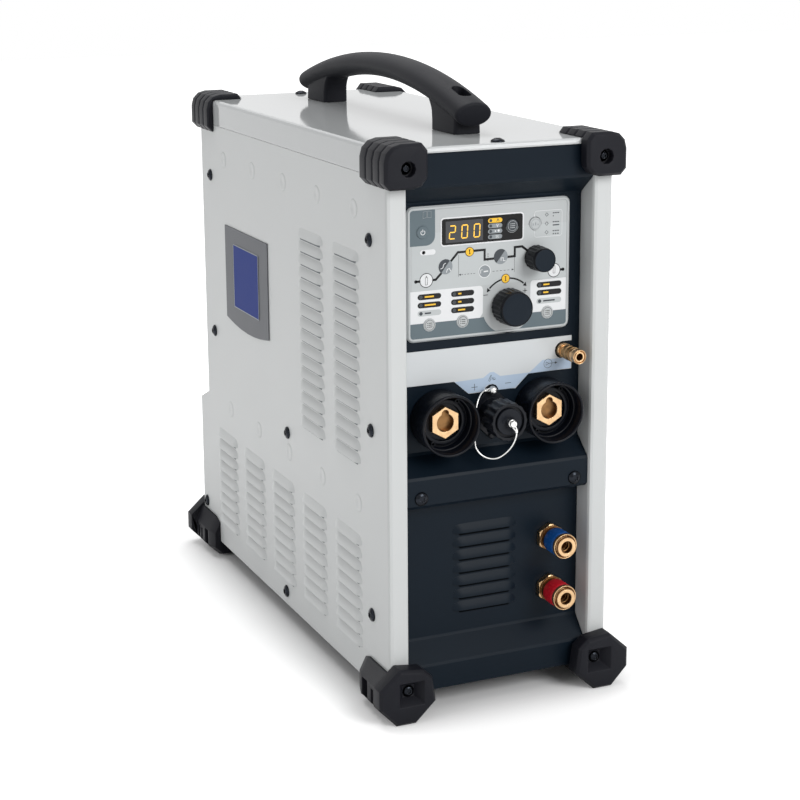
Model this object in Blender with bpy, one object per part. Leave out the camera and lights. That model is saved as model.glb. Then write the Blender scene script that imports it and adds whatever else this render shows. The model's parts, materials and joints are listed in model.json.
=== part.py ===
"""TIG welding machine with a built-in liquid cooler, modelled sub-part by sub-part.

Sizes are in metres. Every piece is a child of the empty "casing", whose origin lies on the
casing's centre line, in the plane of the front flanges, level with the bottom edge of the
side panels. +X is to the operator's right, +Y towards the rear and +Z up. The empty lifts
the casing onto its feet and centres the whole machine over the world origin.
"""

import math

import bmesh
import bpy
from mathutils import Matrix, Vector
from mathutils.geometry import delaunay_2d_cdt

# ---------------------------------------------------------------- driving sizes
GAP = 0.0003
SHEET = 0.0012
BEND_RADIUS = 0.0028
BEND_STEPS = 2

CASE_WIDTH = 0.180
CASE_DEPTH = 0.415
COOLER_OVERHANG = 0.023
LOWER_DEPTH = CASE_DEPTH + COOLER_OVERHANG
FLANGE_WIDTH = 0.0157
FRONT_HALF = CASE_WIDTH / 2 - FLANGE_WIDTH
RETURN_DEPTH = 0.023
RETURN_FOOT = 0.020

# The front is set out in heights from the welding sockets, downwards and then upwards.
SOCKET_HEIGHT = 0.2052
RECESS_BOTTOM = SOCKET_HEIGHT - 0.0252
STRIP_TOP = RECESS_BOTTOM - 0.014
STRIP_BOTTOM = STRIP_TOP - 0.0232
DECK_HEIGHT = STRIP_BOTTOM - 0.0026
STEP_HIGH = DECK_HEIGHT - 0.0022
STEP_LOW = STEP_HIGH - 0.010
NAME_STRIP_BOTTOM = SOCKET_HEIGHT + 0.016
NAME_STRIP_SHOULDER = NAME_STRIP_BOTTOM + 0.0103
NAME_STRIP_TOP = NAME_STRIP_SHOULDER + 0.0255
BEZEL_BOTTOM = NAME_STRIP_TOP + 0.007
BEZEL_TOP = BEZEL_BOTTOM + 0.0985
RECESS_TOP = BEZEL_TOP + 0.002
HEADER_FOLD = RECESS_TOP + 0.014
SEAM_HEIGHT = HEADER_FOLD + 0.0065
LID_TOP = SEAM_HEIGHT + 0.0215

LID_OVERHANG = 0.0005
JOGGLE_DEPTH = 0.0018
JOGGLE_HEIGHT = 0.012
HEADER_FACE = 0.001
RECESS_FACE = 0.019
STRIP_FACE = 0.0031
LOWER_FACE = 0.0185
LOWER_FOLD = 0.0366
SKIRT_FACE = 0.0042
SKIRT_FOLD = 0.0205
SKIRT_BOTTOM = 0.001

LOUVRE_WIDTH = 0.0524
LOUVRE_HEIGHT = 0.0057
LOUVRE_RISE = 0.0026
LOUVRE_PITCH = 0.01014
LOUVRE_COLUMN_PITCH = 0.0713
SIDE_LOUVRE_FRONT = 0.0521
UPPER_LOUVRE_TOP = SEAM_HEIGHT - 0.0653
UPPER_LOUVRE_ROWS = 16
UPPER_LOUVRE_COLUMNS = 2
LOWER_LOUVRE_TOP = STEP_LOW - 0.024
LOWER_LOUVRE_ROWS = 9
LOWER_LOUVRE_COLUMNS = 5
FRONT_LOUVRE_TOP = STRIP_BOTTOM - 0.0276
FRONT_LOUVRE_ROWS = 7
FRONT_LOUVRE_CENTRE = -0.0045
REAR_LOUVRE_TOP = STEP_LOW - 0.0303
REAR_LOUVRE_ROWS = 7
REAR_LOUVRE_LEFT = 0.012

FOOT_PROUD = 0.0135
FOOT_DROP = 0.0155
FOOT_LENGTH = 0.046
BUMPER_SIDE_PROUD = 0.0055
BUMPER_TOP_PROUD = 0.0047
BUMPER_FRONT_PROUD = 0.011
BUMPER_LENGTH = 0.036
BUMPER_WIDTH = 0.033
BUMPER_HEIGHT = 0.032
BUMPER_GROOVES = 3
BUMPER_GROOVE_PITCH = 0.0118
BUMPER_GROOVE_WIDTH = 0.003
BUMPER_GROOVE_DEPTH = 0.0011
BUMPER_SCREW_X = CASE_WIDTH / 2 - 0.012
BUMPER_SCREW_Z = LID_TOP - 0.0128
SCREW_RECESS_RADIUS = 0.0058
SCREW_HEAD_RADIUS = 0.0041

HANDLE_TOP = LID_TOP + 0.0517
HANDLE_RADIUS = 0.548
HANDLE_LENGTH = CASE_DEPTH - 0.093
GRIP_WIDTH = 0.029
GRIP_THICKNESS = 0.0187
STAND_WIDTH = 0.0215
STAND_LENGTH = 0.042
STAND_SPACING = HANDLE_LENGTH - 0.0625
HANDLE_SLOT_WIDTH = 0.010

# The control surround is set out in shares of its width from its left edge.
BEZEL_LEFT = 0.0068 - FRONT_HALF
BEZEL_RIGHT = FRONT_HALF - 0.0103
BEZEL_WIDTH = BEZEL_RIGHT - BEZEL_LEFT
BEZEL_THICKNESS = 0.002
BEZEL_CORNER = 0.005
BEZEL_COVER = 0.0055
WINDOW_LEFT = BEZEL_LEFT + 0.2091 * BEZEL_WIDTH
WINDOW_RIGHT = BEZEL_LEFT + 0.7019 * BEZEL_WIDTH
WINDOW_BOTTOM = BEZEL_TOP - 0.0292
WINDOW_TOP = BEZEL_TOP - 0.0102
WINDOW_CORNER = 0.0018
WINDOW_BRIM = 0.0012
WINDOW_FLANGE = 0.0008
BUTTON_RADIUS = 0.0049
BUTTON_PROUD = 0.0008
BUTTON_CLEARANCE = 0.0004
BUTTON_LIP = 0.0012
BUTTON_LIP_THICKNESS = 0.0009
BUTTON_BACK = -0.0009
BUTTON_PLACES = {
    "standby_button": (BEZEL_LEFT + 0.0943 * BEZEL_WIDTH, BEZEL_TOP - 0.0186),
    "display_button": (BEZEL_LEFT + 0.6373 * BEZEL_WIDTH, BEZEL_TOP - 0.0188),
    "job_button": (BEZEL_LEFT + 0.7802 * BEZEL_WIDTH, BEZEL_TOP - 0.0189),
    "process_button": (BEZEL_LEFT + 0.1338 * BEZEL_WIDTH, BEZEL_BOTTOM + 0.0122),
    "trigger_button": (BEZEL_LEFT + 0.3346 * BEZEL_WIDTH, BEZEL_BOTTOM + 0.0124),
    "pulse_button": (BEZEL_LEFT + 0.8608 * BEZEL_WIDTH, BEZEL_BOTTOM + 0.0128),
}
KNOB_HEIGHT = 0.016
KNOB_FLOAT = 0.0007
KNOB_SHAFT_RADIUS = 0.003
SHAFT_CLEARANCE = 0.0006
MAIN_KNOB_RADIUS = 0.01325
MAIN_KNOB_PLACE = (BEZEL_LEFT + 0.6122 * BEZEL_WIDTH, BEZEL_BOTTOM + 0.0207)
CYCLE_KNOB_RADIUS = 0.00885
CYCLE_KNOB_PLACE = (BEZEL_LEFT + 0.7817 * BEZEL_WIDTH, BEZEL_BOTTOM + 0.055)
BOARD_FACE = RECESS_FACE + 0.0052
SWITCH_DROP = 0.0027
BOARD_THICKNESS = 0.0016

# The hoods take fixed shares of the clear width, and the control connector fills what is between them.
HOOD_RADIUS = 0.3096 * FRONT_HALF
SOCKET_SPACING = 1.144 * FRONT_HALF
HOOD_WALL = 0.0022
HOOD_RIM = -0.006
HOOD_FLOOR = 0.0075
HOOD_POCKET_RADIUS = 0.6435 * HOOD_RADIUS
HOOD_POCKET_DEPTH = 0.0028
SOCKET_FACE = 0.0055
SOCKET_FLATS = 0.0211
SOCKET_BORE_RADIUS = 0.0066
SOCKET_KEY_RADIUS = 0.0028
SOCKET_KEY_OFFSET = 0.0067
SOCKET_STUD_RADIUS = 0.0085
SOCKET_STUD_END = 0.036

CONNECTOR_RISE = 0.0003
CONNECTOR_HEIGHT = SOCKET_HEIGHT + CONNECTOR_RISE
CONNECTOR_ROOM = SOCKET_SPACING / 2 - HOOD_RADIUS
CONNECTOR_FLANGE = CONNECTOR_ROOM + 0.0013
CONNECTOR_FLANGE_THICKNESS = 0.0026
CONNECTOR_SCREW_RING = CONNECTOR_FLANGE - 0.0036
CONNECTOR_SHELL_RADIUS = CONNECTOR_ROOM - 0.0083
CONNECTOR_SHELL_FACE = -0.002
CAP_RADIUS = CONNECTOR_ROOM - 0.005
CAP_SCALLOPS = 16
CAP_SCALLOP_DEPTH = 0.0007
CAP_FACE = -0.0135
CAP_BACK = 0.0035
CAP_BOSS_FACE = -0.0205
LUG_HEIGHT = 0.0023
LANYARD_DIAMETER = 0.0012
CRIMP_RADIUS = 0.0011

GAS_PLACE = (FRONT_HALF - 0.0143, NAME_STRIP_TOP - 0.0105)
GAS_FACE = -0.008
GAS_RADIUS = 0.0052
GAS_STEM_RADIUS = 0.0042
GAS_SLEEVE_LENGTH = 0.0105
COOLANT_X = FRONT_HALF - 0.0245
COOLANT_SUPPLY_HEIGHT = 0.102
COOLANT_RETURN_HEIGHT = 0.0613
COUPLING_FACE = -0.0112
COUPLING_SLEEVE_RADIUS = 0.0097
COUPLING_BORE = 0.0045
COUPLING_HEX_FLATS = 0.0195
COUPLING_HEX_THICKNESS = 0.005
COUPLING_STEM_RADIUS = 0.0068
COUPLING_NECK_RADIUS = 0.0085
COUPLING_NOSE_RADIUS = 0.0076
SLEEVE_BACK = 0.008
SLEEVE_BAND = -0.006
SLEEVE_FRONT = -0.009

NAME_STRIP_FACE = 0.0182
STRIP_HALF_WIDTH = FRONT_HALF - 0.0069
NAME_STRIP_SLOT = 0.0066
BADGE_FRONT = 0.246
BADGE_REAR = 0.3537
BADGE_TOP = SEAM_HEIGHT - 0.0835
BADGE_BOTTOM = BADGE_TOP - 0.081
BADGE_SAG = 0.0055
BADGE_THICKNESS = 0.0006

REAR_INSET = 0.0025
REAR_FLANGE = 0.020
FAN_HEIGHT = DECK_HEIGHT + 0.0848
FAN_RADIUS = 0.056
FAN_FRAME = 0.120
FAN_DEPTH = 0.030
FAN_HUB_RADIUS = 0.018
FAN_CLEARANCE = 0.0015
FAN_BLADES = 7
GRILLE_RINGS = 3
GRILLE_WIRE = 0.0024
SWITCH_PLACE = (-CASE_WIDTH / 4, FAN_HEIGHT + 0.113)
SWITCH_PLATE = 0.048
SWITCH_BODY = 0.038
SWITCH_KNOB_RADIUS = 0.017
GLAND_PLACE = (CASE_WIDTH / 4, FAN_HEIGHT + 0.115)
GLAND_FLATS = 0.027
GLAND_THREAD_RADIUS = 0.010
GLAND_BORE = 0.0055
GAS_INLET_PLACE = (CASE_WIDTH / 2 - 0.032, FAN_HEIGHT + 0.077)
GAS_INLET_RADIUS = 0.006
FILLER_PLACE = (0.038 - CASE_WIDTH / 2, STEP_LOW - 0.0300)
FILLER_CAP_RADIUS = 0.022
FILLER_NECK_RADIUS = 0.016
DECK_WALL = 0.016
DECK_FRONT = LOWER_FACE + 0.0075
PAN_WALL = 0.017
PAN_FRONT = SKIRT_FACE + 0.0033
INNER_HALF = CASE_WIDTH / 2 - SHEET - 0.0004

REAR_REACH = LOWER_DEPTH + FOOT_PROUD
FRONT_REACH = -CAP_BOSS_FACE
CASING_Y = (FRONT_REACH - REAR_REACH) / 2

# ---------------------------------------------------------------- orientations
FRONT = (math.radians(90), 0, 0)
REAR = (math.radians(90), 0, math.radians(180))
LEFT = (math.radians(90), 0, math.radians(-90))
UP = (0, 0, 0)


# ---------------------------------------------------------------- outlines
def circle(radius, count=24, centre=(0.0, 0.0), start=0.0):
    """Points of a regular polygon round the centre, anticlockwise."""
    turns = (start + 2 * math.pi * i / count for i in range(count))
    return [(centre[0] + radius * math.cos(t), centre[1] + radius * math.sin(t)) for t in turns]


def hexagon(across_flats, centre=(0.0, 0.0), vertex_up=True):
    """A hexagon given by the distance across its flats."""
    start = math.radians(90 if vertex_up else 0)
    return circle(across_flats / math.sqrt(3), 6, centre, start)


def arc(centre, radius, first, last, steps):
    """Points of an arc between two angles in degrees, ends included."""
    turns = (math.radians(first + (last - first) * i / steps) for i in range(steps + 1))
    return [(centre[0] + radius * math.cos(t), centre[1] + radius * math.sin(t)) for t in turns]


def rounded_box(left, right, bottom, top, radius, steps=3):
    """A rectangle with round corners, anticlockwise."""
    corners = (
        ((right - radius, bottom + radius), -90),
        ((right - radius, top - radius), 0),
        ((left + radius, top - radius), 90),
        ((left + radius, bottom + radius), 180),
    )
    return [p for centre, turn in corners for p in arc(centre, radius, turn, turn + 90, steps)]


def fluted(radius, depth, count):
    """A round outline with shallow flutes, two points to each rib and each flute."""
    points = []
    for i in range(count * 4):
        turn = 2 * math.pi * (i + 0.5) / (count * 4)
        reach = radius - (depth if i % 4 in (0, 3) else 0)
        points.append((reach * math.cos(turn), reach * math.sin(turn)))
    return points


def scalloped(radius, depth, count):
    """A round outline whose rim rises to a small point at each scallop."""
    points = []
    for i in range(count * 2):
        turn = math.pi * i / count
        reach = radius - (depth if i % 2 else 0)
        points.append((reach * math.cos(turn), reach * math.sin(turn)))
    return points


def inset(points, distance):
    """The convex outline moved inwards by a distance, corner by corner."""
    moved = []
    for i, here in enumerate(points):
        here, last = Vector(here), Vector(points[i - 1])
        following = Vector(points[(i + 1) % len(points)])
        before, after = (here - last).normalized(), (following - here).normalized()
        inward = Vector((-before.y - after.y, before.x + after.x))
        inward.normalize()
        moved.append(tuple(here + inward * distance / max(0.3, inward.dot((-before.y, before.x)))))
    return moved


def bent(corners, radius=BEND_RADIUS, steps=BEND_STEPS):
    """A polyline whose inner corners are turned into arcs of the bend radius."""
    points = [Vector(corners[0])]
    for last, here, following in zip(corners, corners[1:], corners[2:]):
        here = Vector(here)
        before = (Vector(last) - here).normalized()
        after = (Vector(following) - here).normalized()
        half = before.angle(after) / 2
        reach = radius / math.tan(half)
        middle = here + (before + after).normalized() * radius / math.sin(half)
        start, end = here + before * reach - middle, here + after * reach - middle
        for i in range(steps + 1):
            points.append(middle + start.lerp(end, i / steps).normalized() * radius)
    points.append(Vector(corners[-1]))
    return points


# ---------------------------------------------------------------- meshes
def finished(bm):
    """The bmesh as a mesh with its faces pointing out."""
    bmesh.ops.recalc_face_normals(bm, faces=bm.faces)
    mesh = bpy.data.meshes.new("shape")
    bm.to_mesh(mesh)
    bm.free()
    return mesh


def loft(rings, close=False):
    """A solid through rings of points. Flat caps close its ends, or the last ring meets the first."""
    bm = bmesh.new()
    rows = [[bm.verts.new(p) for p in ring] for ring in rings]
    pairs = list(zip(rows, rows[1:])) + ([(rows[-1], rows[0])] if close else [])
    for low, high in pairs:
        for i in range(len(low)):
            j = (i + 1) % len(low)
            bm.faces.new((low[i], low[j], high[j], high[i]))
    if not close:
        bm.faces.new(reversed(rows[0]))
        bm.faces.new(rows[-1])
    return finished(bm)


def level(points, height):
    """A flat outline as a ring at the given height."""
    return [(x, y, height) for x, y in points]


def extruded(points, low, high):
    """A flat outline made solid between two heights."""
    return loft([level(points, low), level(points, high)])


def turned(profile, count=32, ring=False):
    """A profile of (radius, height) points turned about Z; a ring's profile is a closed loop."""
    bm = bmesh.new()
    rows = []
    for radius, height in profile:
        if radius == 0:
            rows.append([bm.verts.new((0, 0, height))])
        else:
            rows.append([bm.verts.new((x, y, height)) for x, y in circle(radius, count)])
    for low, high in list(zip(rows, rows[1:])) + ([(rows[-1], rows[0])] if ring else []):
        for i in range(count):
            j = (i + 1) % count
            corners = [low[i % len(low)], low[j % len(low)], high[j % len(high)], high[i % len(high)]]
            face = list(dict.fromkeys(corners))
            if len(face) > 2:
                bm.faces.new(face)
    return finished(bm)


def tilted(mesh, matrix):
    """The mesh moved or turned by a matrix."""
    mesh.transform(matrix)
    if matrix.determinant() < 0:
        mesh.flip_normals()
    return mesh


def moved(mesh, x=0.0, y=0.0, z=0.0):
    """The mesh moved along the axes."""
    return tilted(mesh, Matrix.Translation((x, y, z)))


def block(low, high):
    """A rectangular solid between two corners."""
    (x0, y0, z0), (x1, y1, z1) = low, high
    return extruded([(x0, y0), (x1, y0), (x1, y1), (x0, y1)], z0, z1)


def combined(base, operation, tools):
    """The base mesh after each tool mesh has been joined to it or cut from it."""
    host = bpy.data.objects.new("host", base)
    helpers = [bpy.data.objects.new("tool", mesh) for mesh in tools]
    for obj in [host] + helpers:
        bpy.context.scene.collection.objects.link(obj)
    for helper in helpers:
        modifier = host.modifiers.new("boolean", "BOOLEAN")
        modifier.operation = operation
        modifier.object = helper
    graph = bpy.context.evaluated_depsgraph_get()
    result = bpy.data.meshes.new_from_object(host.evaluated_get(graph))
    for obj in [host] + helpers:
        bpy.data.objects.remove(obj)
    return result


def cut(base, *tools):
    """The base without the tools."""
    return combined(base, "DIFFERENCE", tools)


def fused(base, *tools):
    """The base and the tools as one solid."""
    return combined(base, "UNION", tools)


def inside(point, polygon):
    """Whether a point lies within a polygon."""
    x, y = point
    odd = False
    for (x0, y0), (x1, y1) in zip(polygon, polygon[1:] + polygon[:1]):
        if (y0 > y) != (y1 > y) and x < x0 + (y - y0) * (x1 - x0) / (y1 - y0):
            odd = not odd
    return odd


def triangulated(outline, holes, lines=()):
    """Points and triangles of a flat outline less its holes, with edges kept along the lines."""
    points, edges = [], []
    for loop in [outline, *holes]:
        first = len(points)
        points += loop
        edges += [(first + i, first + (i + 1) % len(loop)) for i in range(len(loop))]
    for line in lines:
        edges.append((len(points), len(points) + 1))
        points += line
    result = delaunay_2d_cdt([Vector(p) for p in points], edges, [], 0, 1e-7)
    flat, faces = [tuple(p) for p in result[0]], []
    for face in result[2]:
        centre = tuple(sum(flat[i][k] for i in face) / 3 for k in (0, 1))
        if inside(centre, outline) and not any(inside(centre, hole) for hole in holes):
            faces.append(tuple(face))
    return flat, faces


def key(point):
    """A flat point rounded so that equal places compare equal."""
    return tuple(round(c, 6) for c in point)


def rim_edges(faces):
    """The edges that only one triangle uses, in that triangle's direction."""
    sides = {(f[i], f[(i + 1) % 3]) for f in faces for i in range(3)}
    return [(a, b) for a, b in sides if (b, a) not in sides]


def plate(outline, low, high, holes=(), chamfer=0.0):
    """A flat plate with holes, its upper outer edge chamfered."""
    flat, faces = triangulated(outline, list(holes))
    border = {key(p): q for p, q in zip(outline, inset(outline, chamfer))}
    bm = bmesh.new()
    top = [bm.verts.new((*border.get(key(p), p), high)) for p in flat]
    bottom = [bm.verts.new((*p, low)) for p in flat]
    side = [bm.verts.new((*p, high - chamfer)) if chamfer and key(p) in border else None for p in flat]
    for a, b, c in faces:
        bm.faces.new((top[a], top[b], top[c]))
        bm.faces.new((bottom[c], bottom[b], bottom[a]))
    for a, b in rim_edges(faces):
        if side[a] and side[b]:
            bm.faces.new((top[b], top[a], side[a], side[b]))
            bm.faces.new((side[b], side[a], bottom[a], bottom[b]))
        else:
            bm.faces.new((top[b], top[a], bottom[a], bottom[b]))
    bmesh.ops.delete(bm, geom=[v for v in bm.verts if not v.link_faces], context="VERTS")
    return finished(bm)


class Louvre:
    """A pressed louvre: a hood that rises to a lip over a slit which opens downwards."""

    STATIONS = (0.0, 0.14, 0.86, 1.0)
    RISES = (0.0, 1.0, 1.0, 0.0)

    def __init__(self, left, slit):
        self.crown = [
            (left + LOUVRE_WIDTH * t, slit + (LOUVRE_HEIGHT if 0 < t < 1 else 0)) for t in self.STATIONS
        ]
        self.lip = [(left + LOUVRE_WIDTH * t, slit) for t in self.STATIONS]
        self.hole = [self.crown[0], self.crown[-1], *reversed(self.crown[1:-1])]


class Fold:
    """The cross-section of a folded sheet: its outer points, and its inner ones a sheet away."""

    def __init__(self, outer, inward):
        self.outer = [Vector(p) for p in outer]
        self.inner = []
        self.normals = []
        last = len(self.outer) - 1
        for i, here in enumerate(self.outer):
            before = (here - self.outer[max(i - 1, 0)]).normalized() if i else None
            after = (self.outer[min(i + 1, last)] - here).normalized() if i < last else None
            before, after = before or after, after or before
            normal = Vector((-before.y - after.y, before.x + after.x)).normalized() * inward
            self.inner.append(here + normal * SHEET / abs(normal.dot((-before.y, before.x))))
        self.lengths = [0.0]
        for a, b in zip(self.outer, self.outer[1:]):
            self.lengths.append(self.lengths[-1] + (b - a).length)
            run = (b - a).normalized()
            self.normals.append(Vector((-run.y, run.x)) * inward)

    def drop_at(self, face):
        """What turns a height on the straight at this depth into a flat coordinate that runs upwards."""
        flat = (i for i in range(len(self.outer) - 1) if abs(self.outer[i].x - face) < 1e-6)
        i = next(i for i in flat if abs(self.outer[i + 1].x - face) < 1e-6)
        return -self.lengths[i] - self.outer[i].y

    def at(self, along, rise=0.0):
        """The outer and inner points at a developed length, raised along the outward normal."""
        i = max(0, min(len(self.lengths) - 2, sum(s <= along for s in self.lengths) - 1))
        for end in (i, i + 1):
            if abs(along - self.lengths[end]) < 1e-6:
                return self.outer[end], self.inner[end]
        share = (along - self.lengths[i]) / (self.lengths[i + 1] - self.lengths[i])
        outer = self.outer[i].lerp(self.outer[i + 1], share) - self.normals[i] * rise
        return outer, outer + self.normals[i] * SHEET


def folded(fold, outline, develop, to_space, holes=(), louvres=(), bends=()):
    """A sheet cut to a flat outline, pierced, louvred and then folded along its section.

    develop gives a flat point's length along the fold, and to_space its place from the
    section's point and the flat point.
    """
    loops = list(holes) + [louvre.hole for louvre in louvres]
    flat, faces = triangulated(outline, loops, bends)
    names = {key(p): i for i, p in enumerate(flat)}
    bm = bmesh.new()

    def raised(point, rise=0.0):
        return [bm.verts.new(to_space(q, point)) for q in fold.at(develop(point), rise)]

    pairs = [raised(p) for p in flat]
    crowns = [[names[key(p)] for p in louvre.crown] for louvre in louvres]
    hooded = {edge for crown in crowns for edge in [*zip(crown, crown[1:]), *zip(crown[1:], crown)]}
    for a, b in sorted(rim_edges(faces)):
        if (a, b) not in hooded:
            bm.faces.new((pairs[b][0], pairs[a][0], pairs[a][1], pairs[b][1]))
    for a, b, c in faces:
        bm.faces.new((pairs[a][0], pairs[b][0], pairs[c][0]))
        bm.faces.new((pairs[c][1], pairs[b][1], pairs[a][1]))
    for louvre, crown in zip(louvres, crowns):
        middle = [raised(p, LOUVRE_RISE * r) for p, r in zip(louvre.lip[1:-1], louvre.RISES[1:-1])]
        lip = [pairs[crown[0]], *middle, pairs[crown[-1]]]
        for i in range(len(lip) - 1):
            j = i + 1
            for k in (0, 1):
                corners = [lip[i][k], lip[j][k], pairs[crown[j]][k], pairs[crown[i]][k]]
                bm.faces.new(list(dict.fromkeys(corners)))
            bm.faces.new((lip[j][0], lip[i][0], lip[i][1], lip[j][1]))
    return finished(bm)


def louvre_field(left, slit, columns, rows, column_pitch=LOUVRE_COLUMN_PITCH):
    """Louvres in columns and rows, from the lowest-numbered column and the top row down."""
    return [
        Louvre(left + column * column_pitch, slit - row * LOUVRE_PITCH)
        for column in range(columns)
        for row in range(rows)
    ]


# ---------------------------------------------------------------- finishes
def finish(name, colour, roughness, metallic=0.0):
    """A Principled material."""
    material = bpy.data.materials.new(name)
    material.use_nodes = True
    shader = material.node_tree.nodes["Principled BSDF"]
    shader.inputs["Base Color"].default_value = (*colour, 1)
    shader.inputs["Roughness"].default_value = roughness
    shader.inputs["Metallic"].default_value = metallic
    return material


def finishes():
    """All finishes by name."""
    table = {
        "light_paint": ((0.55, 0.56, 0.56), 0.35),
        "lid_paint": ((0.62, 0.63, 0.63), 0.18),
        "dark_paint": ((0.012, 0.017, 0.025), 0.5),
        "rubber": ((0.025, 0.025, 0.028), 0.7),
        "handle_plastic": ((0.03, 0.03, 0.034), 0.6),
        "grey_plastic": ((0.5, 0.52, 0.53), 0.4),
        "black_plastic": ((0.012, 0.014, 0.018), 0.4),
        "window": ((0.01, 0.01, 0.012), 0.1),
        "brass": ((0.78, 0.56, 0.27), 0.3, 1.0),
        "steel": ((0.7, 0.7, 0.7), 0.3, 1.0),
        "blue_ring": ((0.01, 0.06, 0.28), 0.4),
        "red_ring": ((0.5, 0.01, 0.02), 0.4),
        "badge": ((0.2, 0.23, 0.26), 0.3),
        "circuit": ((0.02, 0.16, 0.06), 0.5),
        "aluminium": ((0.6, 0.6, 0.62), 0.4, 1.0),
        "copper": ((0.6, 0.28, 0.13), 0.4, 1.0),
        "tank": ((0.75, 0.77, 0.75), 0.5),
    }
    return {name: finish(name, *values) for name, values in table.items()}


def node(name, mesh, material, place=(0, 0, 0), facing=UP, sharp=30):
    """A named sub-part under the casing, shaded smooth up to the sharp angle."""
    obj = bpy.data.objects.new(name, mesh)
    if not mesh.materials:
        mesh.materials.append(material)
    mesh.shade_smooth()
    mesh.set_sharp_from_angle(angle=math.radians(sharp))
    obj.parent = bpy.data.objects["casing"]
    obj.location = place
    obj.rotation_euler = facing
    bpy.context.scene.collection.objects.link(obj)
    return obj


# ---------------------------------------------------------------- casing
def side_panel(side):
    """A side wall with its front flange, return and lid joggle, louvred. side is -1 left, 1 right."""
    half = CASE_WIDTH / 2
    inner = half - FLANGE_WIDTH
    fold = Fold(bent([(inner, RETURN_DEPTH), (inner, 0), (half, 0), (half, LOWER_DEPTH)]), inward=1)
    wall_start = fold.lengths[-1] - LOWER_DEPTH
    notch = fold.lengths[1]
    outline = [
        (notch, 0),
        (wall_start + LOWER_DEPTH, 0),
        (wall_start + LOWER_DEPTH, STEP_LOW),
        (wall_start + CASE_DEPTH, STEP_HIGH),
        (wall_start + CASE_DEPTH, SEAM_HEIGHT),
        (0, SEAM_HEIGHT),
        (0, RETURN_FOOT),
        (notch, RETURN_FOOT),
    ]
    bends = [[(s, 0), (s, SEAM_HEIGHT)] for s in fold.lengths[1:-1]]
    first = wall_start + SIDE_LOUVRE_FRONT
    louvres = louvre_field(first, UPPER_LOUVRE_TOP, UPPER_LOUVRE_COLUMNS, UPPER_LOUVRE_ROWS)
    louvres += louvre_field(first, LOWER_LOUVRE_TOP, LOWER_LOUVRE_COLUMNS, LOWER_LOUVRE_ROWS)
    panel = folded(
        fold, outline, lambda p: p[0], lambda q, p: (side * q.x, q.y, p[1]), louvres=louvres, bends=bends
    )
    low, high = SEAM_HEIGHT - JOGGLE_HEIGHT, SEAM_HEIGHT + JOGGLE_HEIGHT
    face = half - SHEET
    tab = [
        (face + GAP, low),
        (face - SHEET, low),
        (face - SHEET - JOGGLE_DEPTH, SEAM_HEIGHT),
        (face - SHEET - JOGGLE_DEPTH, high),
        (face - JOGGLE_DEPTH, high),
        (face - JOGGLE_DEPTH, SEAM_HEIGHT),
    ]
    tab = [(side * x, z) for x, z in tab]
    tab = [[(x, y, z) for x, z in tab] for y in (BUMPER_LENGTH + 0.004, CASE_DEPTH - BUMPER_LENGTH)]
    return fused(panel, loft(tab))


def thickened(bm):
    """An open surface given the sheet's thickness on its inner side."""
    host = bpy.data.objects.new("host", finished(bm))
    bpy.context.scene.collection.objects.link(host)
    modifier = host.modifiers.new("sheet", "SOLIDIFY")
    modifier.thickness = SHEET
    modifier.offset = -1
    modifier.use_even_offset = True
    result = bpy.data.meshes.new_from_object(host.evaluated_get(bpy.context.evaluated_depsgraph_get()))
    bpy.data.objects.remove(host)
    return result


def tray(low, high, floor):
    """A folded sheet tray: a rectangle between two (x, y) corners with four walls up to a height."""
    (x0, y0), (x1, y1), brim = low, high[:2], high[2]
    bm = bmesh.new()
    corners = ((x0, y0), (x1, y0), (x1, y1), (x0, y1))
    base = [bm.verts.new((x, y, floor)) for x, y in corners]
    edge = [bm.verts.new((x, y, brim)) for x, y in corners]
    bm.faces.new(base)
    for i in range(4):
        j = (i + 1) % 4
        bm.faces.new((base[i], base[j], edge[j], edge[i]))
    bmesh.ops.recalc_face_normals(bm, faces=bm.faces)
    folds = [e for e in bm.edges if len(e.link_faces) == 2]
    bmesh.ops.bevel(bm, geom=folds, offset=BEND_RADIUS, segments=2, profile=0.5, affect="EDGES")
    return thickened(bm)


def lid():
    """A shallow cover with deep side skirts and short front and rear lips."""
    half, lip = CASE_WIDTH / 2, 0.004
    front, rear = -LID_OVERHANG, CASE_DEPTH + LID_OVERHANG
    bm = bmesh.new()
    low, middle, top = SEAM_HEIGHT + GAP, LID_TOP - lip, LID_TOP
    corner = {}
    for x in (-half, half):
        for y in (front, rear):
            for z in (low, middle, top):
                corner[x, y, z] = bm.verts.new((x, y, z))
    roof = ((-half, front), (half, front), (half, rear), (-half, rear))
    bm.faces.new([corner[x, y, top] for x, y in roof])
    for y in (front, rear):
        end = ((-half, middle), (half, middle), (half, top), (-half, top))
        bm.faces.new([corner[x, y, z] for x, z in end])
    for x in (-half, half):
        ends = ((front, low), (rear, low), (rear, middle), (rear, top), (front, top), (front, middle))
        bm.faces.new([corner[x, y, z] for y, z in ends])
    bmesh.ops.recalc_face_normals(bm, faces=bm.faces)
    folds = [e for e in bm.edges if len(e.link_faces) == 2]
    bmesh.ops.bevel(bm, geom=folds, offset=BEND_RADIUS, segments=2, profile=0.5, affect="EDGES")
    return thickened(bm)


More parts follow.
